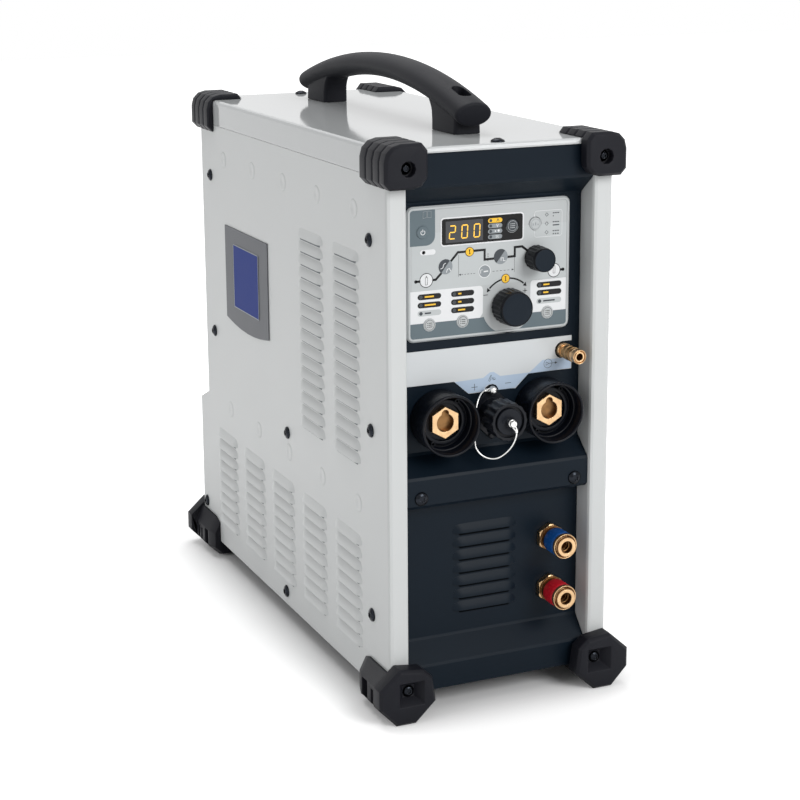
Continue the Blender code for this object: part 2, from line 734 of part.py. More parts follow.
def end_sheet(corners, half, inward, holes=(), louvres=()):
    """A front or rear panel folded along (y, z) corners from the top down.

    holes is a list of (face, outline) pairs: an outline by its x and z, and the depth of the
    straight that it pierces. louvres likewise lists (face, left, slit).
    """
    fold = Fold(bent(corners, steps=1), inward)
    outline = [(-half, -fold.lengths[-1]), (half, -fold.lengths[-1]), (half, 0), (-half, 0)]
    bends = [[(-half, -s), (half, -s)] for s in fold.lengths[1:-1]]
    cuts = [[(x, z + fold.drop_at(face)) for x, z in hole] for face, hole in holes]
    hoods = [Louvre(left, slit + fold.drop_at(face)) for face, left, slit in louvres]
    return folded(
        fold, outline, lambda p: -p[1], lambda q, p: (p[0], q.x, q.y), holes=cuts, louvres=hoods, bends=bends
    )


def upper_front_panel(holes):
    """The dark front: header, control recess and the forward strip under the sockets."""
    top = LID_TOP - SHEET - GAP
    corners = [
        (RECESS_FACE, top),
        (HEADER_FACE, top),
        (HEADER_FACE, HEADER_FOLD),
        (RECESS_FACE, RECESS_TOP),
        (RECESS_FACE, RECESS_BOTTOM),
        (STRIP_FACE, STRIP_TOP),
        (STRIP_FACE, STRIP_BOTTOM),
        (LOWER_FACE - GAP, STRIP_BOTTOM),
    ]
    half = CASE_WIDTH / 2 - FLANGE_WIDTH - GAP
    return end_sheet(corners, half, 1, [(RECESS_FACE, hole) for hole in holes])


def lower_front_panel(holes):
    """The louvred panel of the cooler, leaning out to a skirt at the bottom."""
    top = STRIP_BOTTOM + 0.010
    corners = [(LOWER_FACE, top), (LOWER_FACE, LOWER_FOLD), (SKIRT_FACE, SKIRT_FOLD), (SKIRT_FACE, SKIRT_BOTTOM)]
    left = FRONT_LOUVRE_CENTRE - LOUVRE_WIDTH / 2
    slits = [FRONT_LOUVRE_TOP - row * LOUVRE_PITCH for row in range(FRONT_LOUVRE_ROWS)]
    half = CASE_WIDTH / 2 - FLANGE_WIDTH - GAP
    return end_sheet(
        corners,
        half,
        1,
        [(LOWER_FACE, hole) for hole in holes],
        [(LOWER_FACE, left, slit) for slit in slits],
    )


def rear_upper_panel():
    """The rear of the power source: a pan with forward flanges, pierced for the fan and the inlets."""
    face = CASE_DEPTH - REAR_INSET
    top, bottom = LID_TOP - BEND_RADIUS - SHEET - GAP, STEP_HIGH + GAP
    corners = [(face - REAR_FLANGE, top), (face, top), (face, bottom), (face - REAR_FLANGE, bottom)]
    square = SWITCH_BODY / 2 + 0.0005
    x, z = SWITCH_PLACE
    holes = [
        circle(FAN_RADIUS, 24, (0, FAN_HEIGHT)),
        [(x - square, z - square), (x + square, z - square), (x + square, z + square), (x - square, z + square)],
        circle(GLAND_THREAD_RADIUS + GAP, 16, GLAND_PLACE),
        circle(GAS_INLET_RADIUS + GAP, 12, GAS_INLET_PLACE),
    ]
    return end_sheet(corners, CASE_WIDTH / 2 - SHEET - GAP, -1, [(face, hole) for hole in holes])


def rear_lower_panel():
    """The rear of the cooler: a sloped shoulder, one column of louvres and the filler opening."""
    upper, face = CASE_DEPTH - REAR_INSET, LOWER_DEPTH - REAR_INSET
    top, shoulder = STEP_HIGH - GAP, STEP_LOW - GAP
    corners = [(upper - REAR_FLANGE, top), (upper, top), (face, shoulder), (face, SKIRT_BOTTOM)]
    slits = [REAR_LOUVRE_TOP - row * LOUVRE_PITCH for row in range(REAR_LOUVRE_ROWS)]
    holes = [circle(FILLER_NECK_RADIUS + 4 * GAP, 16, FILLER_PLACE)]
    return end_sheet(
        corners,
        CASE_WIDTH / 2 - SHEET - GAP,
        -1,
        [(face, hole) for hole in holes],
        [(face, REAR_LOUVRE_LEFT, slit) for slit in slits],
    )


# ---------------------------------------------------------------- corners and handle
def bumper():
    """The moulded guard of the front right upper corner, in the front view with +Z outwards."""
    right = CASE_WIDTH / 2 + BUMPER_SIDE_PROUD
    top = LID_TOP + BUMPER_TOP_PROUD
    left, bottom = right - BUMPER_WIDTH, top - BUMPER_HEIGHT
    radius = 0.0125
    outline = [(right - 0.0045, bottom), (right, bottom + 0.0048)]
    outline += arc((right - radius, top - radius), radius, 0, 90, 3)
    outline += [(left + 0.0045, top), (left, top - 0.0055), (left, bottom + 0.0105)]
    outline += arc((left + 0.0105, bottom + 0.0105), 0.0105, 200, 270, 2)
    rings = [level(inset(outline, 0.0022), BUMPER_FRONT_PROUD)]
    rings.append(level(outline, BUMPER_FRONT_PROUD - 0.0024))
    for groove in range(BUMPER_GROOVES):
        middle = -groove * BUMPER_GROOVE_PITCH - 0.0005
        half, sunk = BUMPER_GROOVE_WIDTH / 2, BUMPER_GROOVE_DEPTH
        rings.append(level(outline, middle + half))
        rings.append(level(inset(outline, sunk), middle))
        rings.append(level(outline, middle - half))
    rings.append(level(outline, 0.0012 - BUMPER_LENGTH))
    rings.append(level(inset(outline, 0.0012), -BUMPER_LENGTH))
    solid = loft(rings[::-1])
    side = CASE_WIDTH / 2 + GAP
    roof = LID_TOP + GAP
    casing = extruded([(0, 0.2), (side, 0.2), (side, roof), (0, roof)], -0.1, LID_OVERHANG + GAP)
    sunk, head = BUMPER_FRONT_PROUD - 0.0065, BUMPER_FRONT_PROUD - 0.0042
    recess = [(0, 0.02), (SCREW_RECESS_RADIUS, 0.02), (SCREW_RECESS_RADIUS, sunk), (SCREW_HEAD_RADIUS, sunk)]
    recess += [(SCREW_HEAD_RADIUS, head - 0.0006), (SCREW_HEAD_RADIUS - 0.0006, head), (0, head)]
    recess = moved(turned(recess[::-1], 10), BUMPER_SCREW_X, BUMPER_SCREW_Z)
    return cut(solid, casing, recess)


def foot():
    """The moulded foot of the front right lower corner, in the front view with +Z outwards."""
    side = CASE_WIDTH / 2
    reach, sole = side + FOOT_PROUD, -FOOT_DROP
    front = [
        (side - 0.0155, sole),
        (side, sole),
        (reach, -0.0015),
        (reach, 0.0135),
        (side - 0.0025, 0.028),
        (side - 0.0215, 0.0255),
        (side - 0.0288, 0.019),
        (side - 0.0315, -0.0005),
    ]
    face = FOOT_PROUD
    head = loft([level(front, 0.0), level(front, face - 0.0025), level(inset(front, 0.0022), face)])
    tail = [
        (side - 0.014, sole),
        (side - 0.001, sole),
        (side + 0.0085, -0.0065),
        (side + 0.0085, 0.0085),
        (side + 0.002, 0.0215),
        (side - 0.010, 0.0215),
        (side - 0.026, 0.010),
        (side - 0.026, -0.0035),
    ]
    tail = loft([level(inset(tail, 0.003), -FOOT_LENGTH), level(tail, -FOOT_LENGTH + 0.010), level(tail, 0.004)])
    casing = extruded([(0, -GAP), (side + GAP, -GAP), (side + GAP, 0.1), (0, 0.1)], -0.1, GAP)
    well = [(side - 0.0225, -0.0015), (side - 0.001, -0.0015), (side - 0.001, 0.0185), (side - 0.0225, 0.0185)]
    screw = (side - 0.012, 0.008)
    mouth = level(well, face + 0.001)
    waist = [(x * 0.45 + screw[0] * 0.55, z * 0.45 + screw[1] * 0.55, face - 0.0085) for x, z in well]
    funnel = loft([waist, mouth])
    slots = []
    for near, far, high in ((0.005, 0.009, 0.005), (0.013, 0.017, 0.005), (0.024, 0.034, 0.008)):
        low = -0.010 if far < 0.02 else -0.008
        slots.append(block((side + 0.003, low, -far), (side + 0.02, high, -near)))
    return cut(fused(head, tail), casing, funnel, *slots)


def handle():
    """The arched carrying handle: an oval grip swept along an arc, on two flared stands."""
    centre_radius = HANDLE_RADIUS - GRIP_THICKNESS / 2
    middle, pivot = CASE_DEPTH / 2, HANDLE_TOP - HANDLE_RADIUS
    sweep = math.asin(HANDLE_LENGTH / 2 / centre_radius)
    rings = []
    stations = 10
    for i in range(stations + 1):
        turn = sweep * (2 * i / stations - 1)
        end = min(i, stations - i)
        scale = 1 if end else 0.93
        ring = []
        for x, h in circle(1, 12):
            h_reach = centre_radius + h * scale * GRIP_THICKNESS / 2
            along, up = middle + h_reach * math.sin(turn), pivot + h_reach * math.cos(turn)
            ring.append((x * scale * GRIP_WIDTH / 2, along, up))
        rings.append(ring)
    grip = loft(rings)
    stands = []
    base = LID_TOP + GAP
    for way in (-1, 1):
        foot_y = middle + way * STAND_SPACING / 2
        rows = []
        for share, flare, narrow in ((0.0, 0.0, 1.0), (0.45, 0.001, 0.97), (0.72, 0.006, 0.97), (1.0, 0.016, 0.85)):
            ends = (foot_y + way * STAND_LENGTH / 2, foot_y - way * (STAND_LENGTH / 2 + flare))
            half = STAND_WIDTH / 2 * narrow
            ring = rounded_box(-half, half, min(ends), max(ends), 0.003, 2)
            heights = [pivot + math.sqrt(centre_radius**2 - (y - middle) ** 2) for _, y in ring]
            rows.append([(x, y, base + share * (h - base)) for (x, y), h in zip(ring, heights)])
        stands.append(loft(rows))
    whole = fused(grip, *stands)
    slots = []
    for way in (-1, 1):
        y = middle + way * STAND_SPACING / 2
        height = pivot + math.sqrt(centre_radius**2 - (y - middle) ** 2)
        slot = rounded_box(-HANDLE_SLOT_WIDTH / 2, HANDLE_SLOT_WIDTH / 2, y - 0.011, y + 0.011, 0.0049, 3)
        slots.append(extruded(slot, height + 0.004, height + 0.03))
    return cut(whole, *slots)


# ---------------------------------------------------------------- control panel
def bezel():
    """The moulded control surround: a rimmed plate with holes for the window, buttons and shafts."""
    width = rounded_box(BEZEL_LEFT, BEZEL_RIGHT, BEZEL_BOTTOM, BEZEL_TOP, BEZEL_CORNER)
    window = rounded_box(
        WINDOW_LEFT - GAP, WINDOW_RIGHT + GAP, WINDOW_BOTTOM - GAP, WINDOW_TOP + GAP, WINDOW_CORNER, 2
    )
    holes = [window]
    for name, place in BUTTON_PLACES.items():
        if name != "display_button":
            holes.append(circle(BUTTON_RADIUS + BUTTON_CLEARANCE, 14, place))
    for place in (MAIN_KNOB_PLACE, CYCLE_KNOB_PLACE):
        holes.append(circle(KNOB_SHAFT_RADIUS + SHAFT_CLEARANCE, 12, place))
    face = plate(width, GAP, BEZEL_THICKNESS, holes, chamfer=0.0008)
    posts = []
    reach = RECESS_FACE - BOARD_FACE + GAP
    for x, z in board_corners():
        posts.append(moved(extruded(circle(0.003, 8), reach, BEZEL_THICKNESS / 2), x, z))
    return fused(face, *posts)


def board_corners():
    """The four places where the control board is screwed to the surround's posts."""
    inner = BEZEL_COVER + 0.006
    xs = (BEZEL_LEFT + inner, BEZEL_RIGHT - inner)
    return [(x, z) for x in xs for z in (BEZEL_BOTTOM + 0.0245, BEZEL_TOP - 0.0345)]


def display_window():
    """The display's cover, flush in the surround, with a hidden flange and a hole for its button."""
    outline = rounded_box(WINDOW_LEFT, WINDOW_RIGHT, WINDOW_BOTTOM, WINDOW_TOP, WINDOW_CORNER, 2)
    brim = rounded_box(
        WINDOW_LEFT - WINDOW_BRIM,
        WINDOW_RIGHT + WINDOW_BRIM,
        WINDOW_BOTTOM - WINDOW_BRIM,
        WINDOW_TOP + WINDOW_BRIM,
        WINDOW_CORNER,
        1,
    )
    hole = circle(BUTTON_RADIUS + BUTTON_CLEARANCE, 14, BUTTON_PLACES["display_button"])
    front = plate(outline, -WINDOW_FLANGE / 2, BEZEL_THICKNESS + 0.0004, [hole], chamfer=0.0003)
    return fused(front, plate(brim, -WINDOW_FLANGE, 0.0, [hole]))


def button(back):
    """A push button: a crowned cap with a hidden lip that keeps it in its hole."""
    radius, lip = BUTTON_RADIUS, back + BUTTON_LIP_THICKNESS
    face = BEZEL_THICKNESS + BUTTON_PROUD
    profile = [(0, back), (radius + BUTTON_LIP, back), (radius + BUTTON_LIP, lip), (radius, lip)]
    profile += [(radius, face - 0.0005), (radius - 0.0006, face), (0, face)]
    return turned(profile, 14)


def knob(radius, ribs):
    """A rotary knob: a fluted skirt, a plain crown and a shaft that runs back to its encoder."""
    low, high = BEZEL_THICKNESS + KNOB_FLOAT, BEZEL_THICKNESS + KNOB_HEIGHT
    skirt = fluted(radius, radius * 0.045, ribs)
    crown = [(x * 0.955, y * 0.955) for x, y in circle(radius, ribs * 4, start=math.pi / ribs / 4)]
    body = loft([
        level(skirt, low),
        level([(x * 0.97, y * 0.97) for x, y in skirt], high - KNOB_HEIGHT * 0.3),
        level(crown, high - KNOB_HEIGHT * 0.24),
        level([(x * 0.93, y * 0.93) for x, y in crown], high),
    ])
    reach = RECESS_FACE - BOARD_FACE + 0.0055
    return fused(body, extruded(circle(KNOB_SHAFT_RADIUS, 12), reach, low + 0.002))


def control_board():
    """The board behind the surround, with its push switches, encoders and digit block."""
    inner = BEZEL_COVER
    sheet = block(
        (BEZEL_LEFT + inner, BEZEL_BOTTOM + 0.009, -BOARD_THICKNESS),
        (BEZEL_RIGHT - inner, BEZEL_TOP - inner, 0),
    )
    lift = BOARD_FACE - RECESS_FACE
    switches = [
        block((x - 0.003, z - 0.003, -0.001), (x + 0.003, z + 0.003, lift - SWITCH_DROP))
        for x, z in BUTTON_PLACES.values()
    ]
    encoders = [
        moved(extruded(circle(0.006, 12), -0.001, 0.0048), x, z) for x, z in (MAIN_KNOB_PLACE, CYCLE_KNOB_PLACE)
    ]
    digits = block(
        (WINDOW_LEFT + 0.003, WINDOW_BOTTOM + 0.0025, -0.001),
        (WINDOW_LEFT + 0.033, WINDOW_TOP - 0.0025, lift - 2 * WINDOW_FLANGE),
    )
    return fused(sheet, *switches, *encoders, digits)


def name_strip():
    """The blank label plate above the sockets, notched round the lanyard's screw."""
    half, top, shoulder, low = STRIP_HALF_WIDTH, NAME_STRIP_TOP, NAME_STRIP_SHOULDER, NAME_STRIP_BOTTOM
    notch = arc((0.0008, low - 0.0008), 0.0062, 172, 20, 5)
    reach = CONNECTOR_ROOM - 0.0015
    outline = [(-half, shoulder), (-reach - 0.0115, shoulder), (-reach, low), *notch]
    outline += [(reach + 0.0025, low), (reach + 0.0135, shoulder)]
    x, z = GAS_PLACE
    slot = [(half, z - NAME_STRIP_SLOT), *arc((x, z), NAME_STRIP_SLOT, -90, -270, 8), (half, z + NAME_STRIP_SLOT)]
    outline += [(half, shoulder), *slot, (half, top), (-half, top)]
    return plate(outline, GAP, RECESS_FACE - NAME_STRIP_FACE)


# ---------------------------------------------------------------- connectors on the front
def socket_hood():
    """The round moulded hood that shrouds a welding socket, in front of the panel."""
    rim, floor = RECESS_FACE - HOOD_RIM, RECESS_FACE - HOOD_FLOOR
    seat, bore = floor - HOOD_POCKET_DEPTH, SOCKET_STUD_RADIUS + GAP
    inner = HOOD_RADIUS - HOOD_WALL
    profile = [
        (bore, GAP),
        (HOOD_RADIUS - 0.0006, GAP),
        (HOOD_RADIUS, rim - 0.0010),
        (HOOD_RADIUS - 0.0006, rim),
        (inner + 0.0006, rim),
        (inner, rim - 0.0010),
        (inner - 0.0016, floor),
        (HOOD_POCKET_RADIUS, floor),
        (HOOD_POCKET_RADIUS, seat),
        (bore, seat),
    ]
    return turned(profile, 24, ring=True)


def welding_socket():
    """A brass socket: a hexagonal face with a keyed bore, and the stud behind the panel."""
    seat = RECESS_FACE - HOOD_FLOOR - HOOD_POCKET_DEPTH + GAP
    face = RECESS_FACE - SOCKET_FACE
    stud_end = RECESS_FACE - SOCKET_STUD_END
    head = loft([
        level(hexagon(SOCKET_FLATS), seat),
        level(hexagon(SOCKET_FLATS), face - 0.0004),
        level(hexagon(SOCKET_FLATS - 0.0008), face),
    ])
    stud = extruded(circle(SOCKET_STUD_RADIUS, 16), stud_end, seat + 0.001)
    bore = extruded(circle(SOCKET_BORE_RADIUS, 20), stud_end + 0.012, face + 0.01)
    lobe = moved(extruded(circle(SOCKET_KEY_RADIUS, 12), face - 0.009, face + 0.01), 0, SOCKET_KEY_OFFSET)
    return cut(fused(head, stud), bore, lobe)


def control_connector():
    """The round control connector: a diamond flange with four screws and a recessed shell."""
    face = GAP + CONNECTOR_FLANGE_THICKNESS
    corner = CONNECTOR_FLANGE / math.sqrt(2)
    square = rounded_box(-corner, corner, -corner, corner, 0.003, 2)
    turn = math.radians(45)
    cosine, sine = math.cos(turn), math.sin(turn)
    diamond = [(x * cosine - y * sine, x * sine + y * cosine) for x, y in square]
    flange = loft([level(diamond, GAP), level(diamond, face - 0.0004), level(inset(diamond, 0.0004), face)])
    shell_face = RECESS_FACE - CONNECTOR_SHELL_FACE
    shell = extruded(circle(CONNECTOR_SHELL_RADIUS, 16), -0.012, shell_face)
    well = extruded(circle(CONNECTOR_SHELL_RADIUS - 0.0014, 16), shell_face - 0.008, shell_face + 0.01)
    screws = []
    for turn in (0, 90, 180, 270):
        x = CONNECTOR_SCREW_RING * math.cos(math.radians(turn))
        y = CONNECTOR_SCREW_RING * math.sin(math.radians(turn))
        lift = LUG_HEIGHT if turn == 90 else 0.0
        top = face + lift + 0.0018
        profile = [(0, face - 0.001), (0.0015, face - 0.001), (0.0015, face + lift - 0.0002)]
        profile += [(0.0029, face + lift), (0.0029, top - 0.0008), (0.002, top), (0, top)]
        screws.append(moved(turned(profile, 8), x, y))
    return cut(fused(flange, shell, *screws), well)


def dust_cap():
    """The screwed dust cap of the control connector, with the rivet that holds its lanyard."""
    low, face = RECESS_FACE - CAP_BACK, RECESS_FACE - CAP_FACE
    end = RECESS_FACE - CAP_BOSS_FACE
    rim = scalloped(CAP_RADIUS, CAP_SCALLOP_DEPTH, CAP_SCALLOPS)
    small = [(x * 0.94, y * 0.94) for x, y in rim]
    body = loft([level(small, low), level(rim, low + 0.0008), level(rim, face - 0.0012), level(small, face)])
    rivet = turned([
        (0, face - 0.001),
        (0.0014, face - 0.001),
        (0.0014, end - 0.0022),
        (0.0029, end - 0.0018),
        (0.0024, end),
        (0, end),
    ], 10)
    inner, outer = CAP_RADIUS - 0.0043, CAP_RADIUS - 0.0027
    groove = [(inner, face - 0.0022), (outer, face - 0.0022), (outer, face + 0.01), (inner, face + 0.01)]
    groove = turned(groove, 16, ring=True)
    shell = RECESS_FACE - CONNECTOR_SHELL_FACE
    cavity = extruded(circle(CONNECTOR_SHELL_RADIUS + GAP, 16), low - 0.01, shell + GAP)
    return fused(cut(body, groove, cavity), rivet)


def swept(path, radii, count=6):
    """A round bar along a path of points, its radius given at each point."""
    points = [Vector(p) for p in path]
    normal = (points[1] - points[0]).orthogonal()
    rings = []
    for i, here in enumerate(points):
        ahead = (points[min(i + 1, len(points) - 1)] - points[max(i - 1, 0)]).normalized()
        normal = (normal - ahead * normal.dot(ahead)).normalized()
        side = ahead.cross(normal)
        rings.append([tuple(here + normal * x + side * y) for x, y in circle(radii[i], count)])
    return loft(rings)


def eased(points, rounds=1):
    """The path with its corners cut, round after round, its ends kept."""
    points = [Vector(p) for p in points]
    for _ in range(rounds):
        middle = [q for a, b in zip(points, points[1:]) for q in (a.lerp(b, 0.25), a.lerp(b, 0.75))]
        points = [points[0], *middle[1:-1], points[-1]]
    return points


def lanyard():
    """The wire that keeps the dust cap: an eye under the flange's top screw, a slack loop, an eye on the rivet.

    The slack is set out from the connector's axis, sideways in shares of the room beside it.
    """
    wire = LANYARD_DIAMETER / 2
    lug_y = RECESS_FACE - GAP - CONNECTOR_FLANGE_THICKNESS - LUG_HEIGHT / 2 + 0.0001
    rivet_y = CAP_BOSS_FACE + 0.0022 + wire + 0.0004
    first = [(x, lug_y, z) for x, z in arc((0, CONNECTOR_SCREW_RING), 0.0025, -155, 150, 12)]
    room = CONNECTOR_ROOM
    slack = [
        (-0.349 * room, 0.0142, CONNECTOR_SCREW_RING + 0.0005),
        (-0.538 * room, 0.0125, CONNECTOR_SCREW_RING - 0.0012),
        (-0.728 * room, 0.0100, 0.0120),
        (-0.851 * room, 0.0082, 0.0060),
        (-0.908 * room, 0.0068, -0.0010),
        (-0.959 * room, 0.0052, -0.0085),
        (-1.041 * room, 0.0030, -0.0147),
        (-1.051 * room, 0.0015, -0.0200),
        (-0.949 * room, -0.0005, -0.0240),
        (-0.769 * room, -0.0025, -0.0271),
        (-0.538 * room, -0.0045, -0.0293),
        (-0.308 * room, -0.0068, -0.0287),
        (-0.113 * room, -0.0098, -0.0249),
        (0.062 * room, -0.0128, -0.0197),
        (0.154 * room, -0.0152, -0.0140),
        (0.0035, rivet_y, -0.0070),
    ]
    last = [(x, rivet_y, z) for x, z in arc((0, 0), 0.0023, -40, 265, 12)]
    loop = eased([first[-1], *slack, last[0]])[1:-1]
    path = [Vector(p) for p in [*first, *loop, *last]]
    crimps = [Vector(slack[0]), Vector((0.0034, rivet_y, -0.0080))]
    radii = []
    for point in path:
        near = min((point - crimp).length for crimp in crimps)
        radii.append(CRIMP_RADIUS if near < 0.0022 else wire)
    return swept(path, radii, 4)


def gas_outlet():
    """The shielding gas outlet: a brass stem with a collar at its tip and a narrow bore."""
    end = RECESS_FACE - GAS_FACE
    radius = GAS_RADIUS
    return turned([
        (0, -0.014),
        (GAS_STEM_RADIUS, -0.014),
        (GAS_STEM_RADIUS, 0.0006),
        (0.0056, 0.0006),
        (0.0056, 0.0040),
        (GAS_STEM_RADIUS, 0.0040),
        (GAS_STEM_RADIUS, end - 0.0085),
        (radius, end - 0.0078),
        (radius + 0.0003, end - 0.0016),
        (radius - 0.0006, end),
        (radius - 0.0016, end),
        (radius - 0.0027, end - 0.0016),
        (radius - 0.0027, end - 0.014),
        (0, end - 0.014),
    ], 14)


def gas_sleeve():
    """The knurled release sleeve that slides on the gas outlet's stem."""
    end = RECESS_FACE - GAS_FACE
    low, high = end - 0.0085 - GAP - GAS_SLEEVE_LENGTH, end - 0.0085 - GAP
    outer, bore = GAS_RADIUS + 0.0005, GAS_STEM_RADIUS + GAP
    middle = (low + high) / 2
    return turned([
        (bore, low),
        (outer - 0.0004, low),
        (outer, low + 0.0004),
        (outer, middle - 0.0006),
        (outer - 0.0004, middle),
        (outer, middle + 0.0006),
        (outer, high - 0.0004),
        (outer - 0.0004, high),
        (bore, high),
    ], 14, ring=True)


def coupling():
    """A coolant coupling's body: a stem through the panel, a hexagon, a neck and a bored nose."""
    end = LOWER_FACE - COUPLING_FACE
    hexagonal = loft([
        level(hexagon(COUPLING_HEX_FLATS - 0.0008), GAP),
        level(hexagon(COUPLING_HEX_FLATS), 0.0007),
        level(hexagon(COUPLING_HEX_FLATS), COUPLING_HEX_THICKNESS - 0.0008),
        level(hexagon(COUPLING_HEX_FLATS - 0.0016), COUPLING_HEX_THICKNESS),
    ])
    neck, nose = COUPLING_NECK_RADIUS, COUPLING_NOSE_RADIUS
    body = turned([
        (0, -0.016),
        (COUPLING_STEM_RADIUS, -0.016),
        (COUPLING_STEM_RADIUS, 0.001),
        (neck, 0.002),
        (neck, COUPLING_HEX_THICKNESS + 0.0022),
        (nose, COUPLING_HEX_THICKNESS + 0.0022),
        (nose, end - 0.0006),
        (nose - 0.0006, end),
        (COUPLING_BORE + 0.0005, end),
        (COUPLING_BORE, end - 0.0006),
        (COUPLING_BORE, end - 0.014),
        (0.0028, end - 0.014),
        (0.0022, end - 0.0072),
        (0, end - 0.0068),
    ], 18)
    return fused(hexagonal, body)


def coupling_sleeve():
    """The release sleeve of a coolant coupling, with a groove near its front."""
    low, high = LOWER_FACE - SLEEVE_BACK, LOWER_FACE - SLEEVE_FRONT
    band = LOWER_FACE - SLEEVE_BAND
    outer, bore = COUPLING_SLEEVE_RADIUS, COUPLING_NOSE_RADIUS + GAP
    return turned([
        (bore, low),
        (outer - 0.0012, low),
        (outer, low + 0.0010),
        (outer, band - 0.0002),
        (outer - 0.0005, band),
        (outer, band + 0.0006),
        (outer, high - 0.0005),
        (outer - 0.0005, high),
        (bore + 0.0012, high),
        (bore + 0.0012, high - 0.0034),
        (bore, high - 0.0036),
    ], 18, ring=True)


def badge():
    """The plain moulded badge of the left wall, its lower edge bowed, with a raised frame."""
    left, right = -BADGE_REAR, -BADGE_FRONT
    middle, half = (left + right) / 2, (right - left) / 2
    shares = (-0.9, -0.6, -0.3, 0, 0.3, 0.6, 0.9)
    bow = [(middle + half * t, BADGE_BOTTOM - BADGE_SAG * (1 - t * t)) for t in shares]
    outline = [(left, BADGE_BOTTOM), *bow, (right, BADGE_BOTTOM), (right, BADGE_TOP), (left, BADGE_TOP)]
    field = rounded_box(left + 0.0225, right - 0.0225, BADGE_BOTTOM + 0.0125, BADGE_TOP - 0.0135, 0.001, 1)
    outer = [(x + 0.0006 * (1 if x > middle else -1), y) for x, y in field]
    face = plate(outline, GAP, GAP + BADGE_THICKNESS, chamfer=0.0002)
    return fused(face, extruded(outer, GAP + BADGE_THICKNESS / 2, GAP + BADGE_THICKNESS + 0.0004))


# ---------------------------------------------------------------- rear fittings
def mains_switch():
    """The rear isolator: a square plate outside the panel and its body behind."""
    half, body = SWITCH_PLATE / 2, SWITCH_BODY / 2
    outline = rounded_box(-half, half, -half, half, 0.004, 2)
    face = 0.0035
    front = loft([level(outline, GAP), level(outline, face - 0.001), level(inset(outline, 0.001), face)])
    back = block((-body, -body, -0.045), (body, body, 0.001))
    pit = extruded(circle(0.0036, 14), face - 0.003, face + 0.01)
    return cut(fused(front, back), pit)


def switch_knob():
    """The isolator's knob: a disc with a grip bar across it and a stub shaft."""
    low = 0.0035 + GAP
    radius = SWITCH_KNOB_RADIUS
    disc = [(0, low), (radius, low), (radius, low + 0.004), (radius - 0.001, low + 0.005), (0, low + 0.005)]
    disc = turned(disc, 16)
    bar = rounded_box(-0.0052, 0.0052, -0.0158, 0.0158, 0.004, 2)
    grip = loft([level(bar, low + 0.003), level(bar, low + 0.016), level(inset(bar, 0.0012), low + 0.0175)])
    shaft = extruded(circle(0.003, 12), low - 0.0025, low + 0.002)
    return fused(disc, grip, shaft)


def cable_gland():
    """The mains inlet's gland: a hexagon, a domed nut and a bore right through."""
    hexagonal = loft([
        level(hexagon(GLAND_FLATS), GAP),
        level(hexagon(GLAND_FLATS), 0.006),
        level(hexagon(GLAND_FLATS - 0.002), 0.007),
    ])
    radius = GLAND_FLATS / 2
    dome = turned([
        (0, -0.010),
        (GLAND_THREAD_RADIUS, -0.010),
        (GLAND_THREAD_RADIUS, 0.001),
        (radius - 0.002, 0.002),
        (radius - 0.001, 0.016),
        (radius - 0.003, 0.022),
        (GLAND_BORE + 0.002, 0.026),
        (0, 0.026),
    ], 16)
    return cut(fused(hexagonal, dome), extruded(circle(GLAND_BORE, 12), -0.02, 0.04))


def gas_inlet():
    """The rear gas inlet: a hexagon and a barbed tail for the supply hose."""
    tail = [(0, -0.012), (GAS_INLET_RADIUS, -0.012), (GAS_INLET_RADIUS, 0.001), (0.0042, 0.002), (0.0042, 0.0075)]
    for barb in range(3):
        start = 0.008 + barb * 0.0055
        tail += [(0.0048, start), (0.0038, start + 0.005)]
    end = tail[-1][1] + 0.0006
    tail += [(0.0034, end), (0.0018, end), (0.0018, 0.006), (0, 0.006)]
    return fused(extruded(hexagon(0.017), GAP, 0.0065), turned(tail, 12))


def fan_grille():
    """The rear finger guard: concentric rings on four spokes, screwed down at their ends."""
    wire = GRILLE_WIRE / 2
    lift = GAP + 0.0032
    rings = []
    for i in range(GRILLE_RINGS):
        radius = FAN_RADIUS * (i + 1) / GRILLE_RINGS - wire
        section = [(radius + x, lift + y) for x, y in circle(wire, 4)]
        rings.append(turned(section, 12 + 4 * i, ring=True))
    spokes = []
    reach = FAN_FRAME / 2 * 1.18
    for turn in (45, 135):
        bar = block((-reach, -wire, GAP), (reach, wire, GAP + GRILLE_WIRE))
        spokes.append(tilted(bar, Matrix.Rotation(math.radians(turn), 4, "Z")))
    for turn in (45, 135, 225, 315):
        x, y = (reach * f(math.radians(turn)) for f in (math.cos, math.sin))
        spokes.append(moved(extruded(circle(0.005, 8), GAP, GAP + 0.002), x, y))
    return fused(spokes[0], *spokes[1:], *rings)


def fan_housing():
    """The fan's frame, its motor seat carried by four struts."""
    half = FAN_FRAME / 2
    outline = rounded_box(-half, half, -half, half, 0.006, 2)
    frame = plate(outline, -FAN_DEPTH, 0, [circle(FAN_RADIUS + FAN_CLEARANCE, 24)])
    seat = extruded(circle(FAN_HUB_RADIUS, 16), -FAN_DEPTH, -FAN_DEPTH + 0.004)
    struts = []
    for turn in (0, 90):
        bar = block((-FAN_RADIUS - 0.003, -0.003, -FAN_DEPTH), (FAN_RADIUS + 0.003, 0.003, -FAN_DEPTH + 0.003))
        struts.append(tilted(bar, Matrix.Rotation(math.radians(turn), 4, "Z")))
    return fused(frame, seat, *struts)


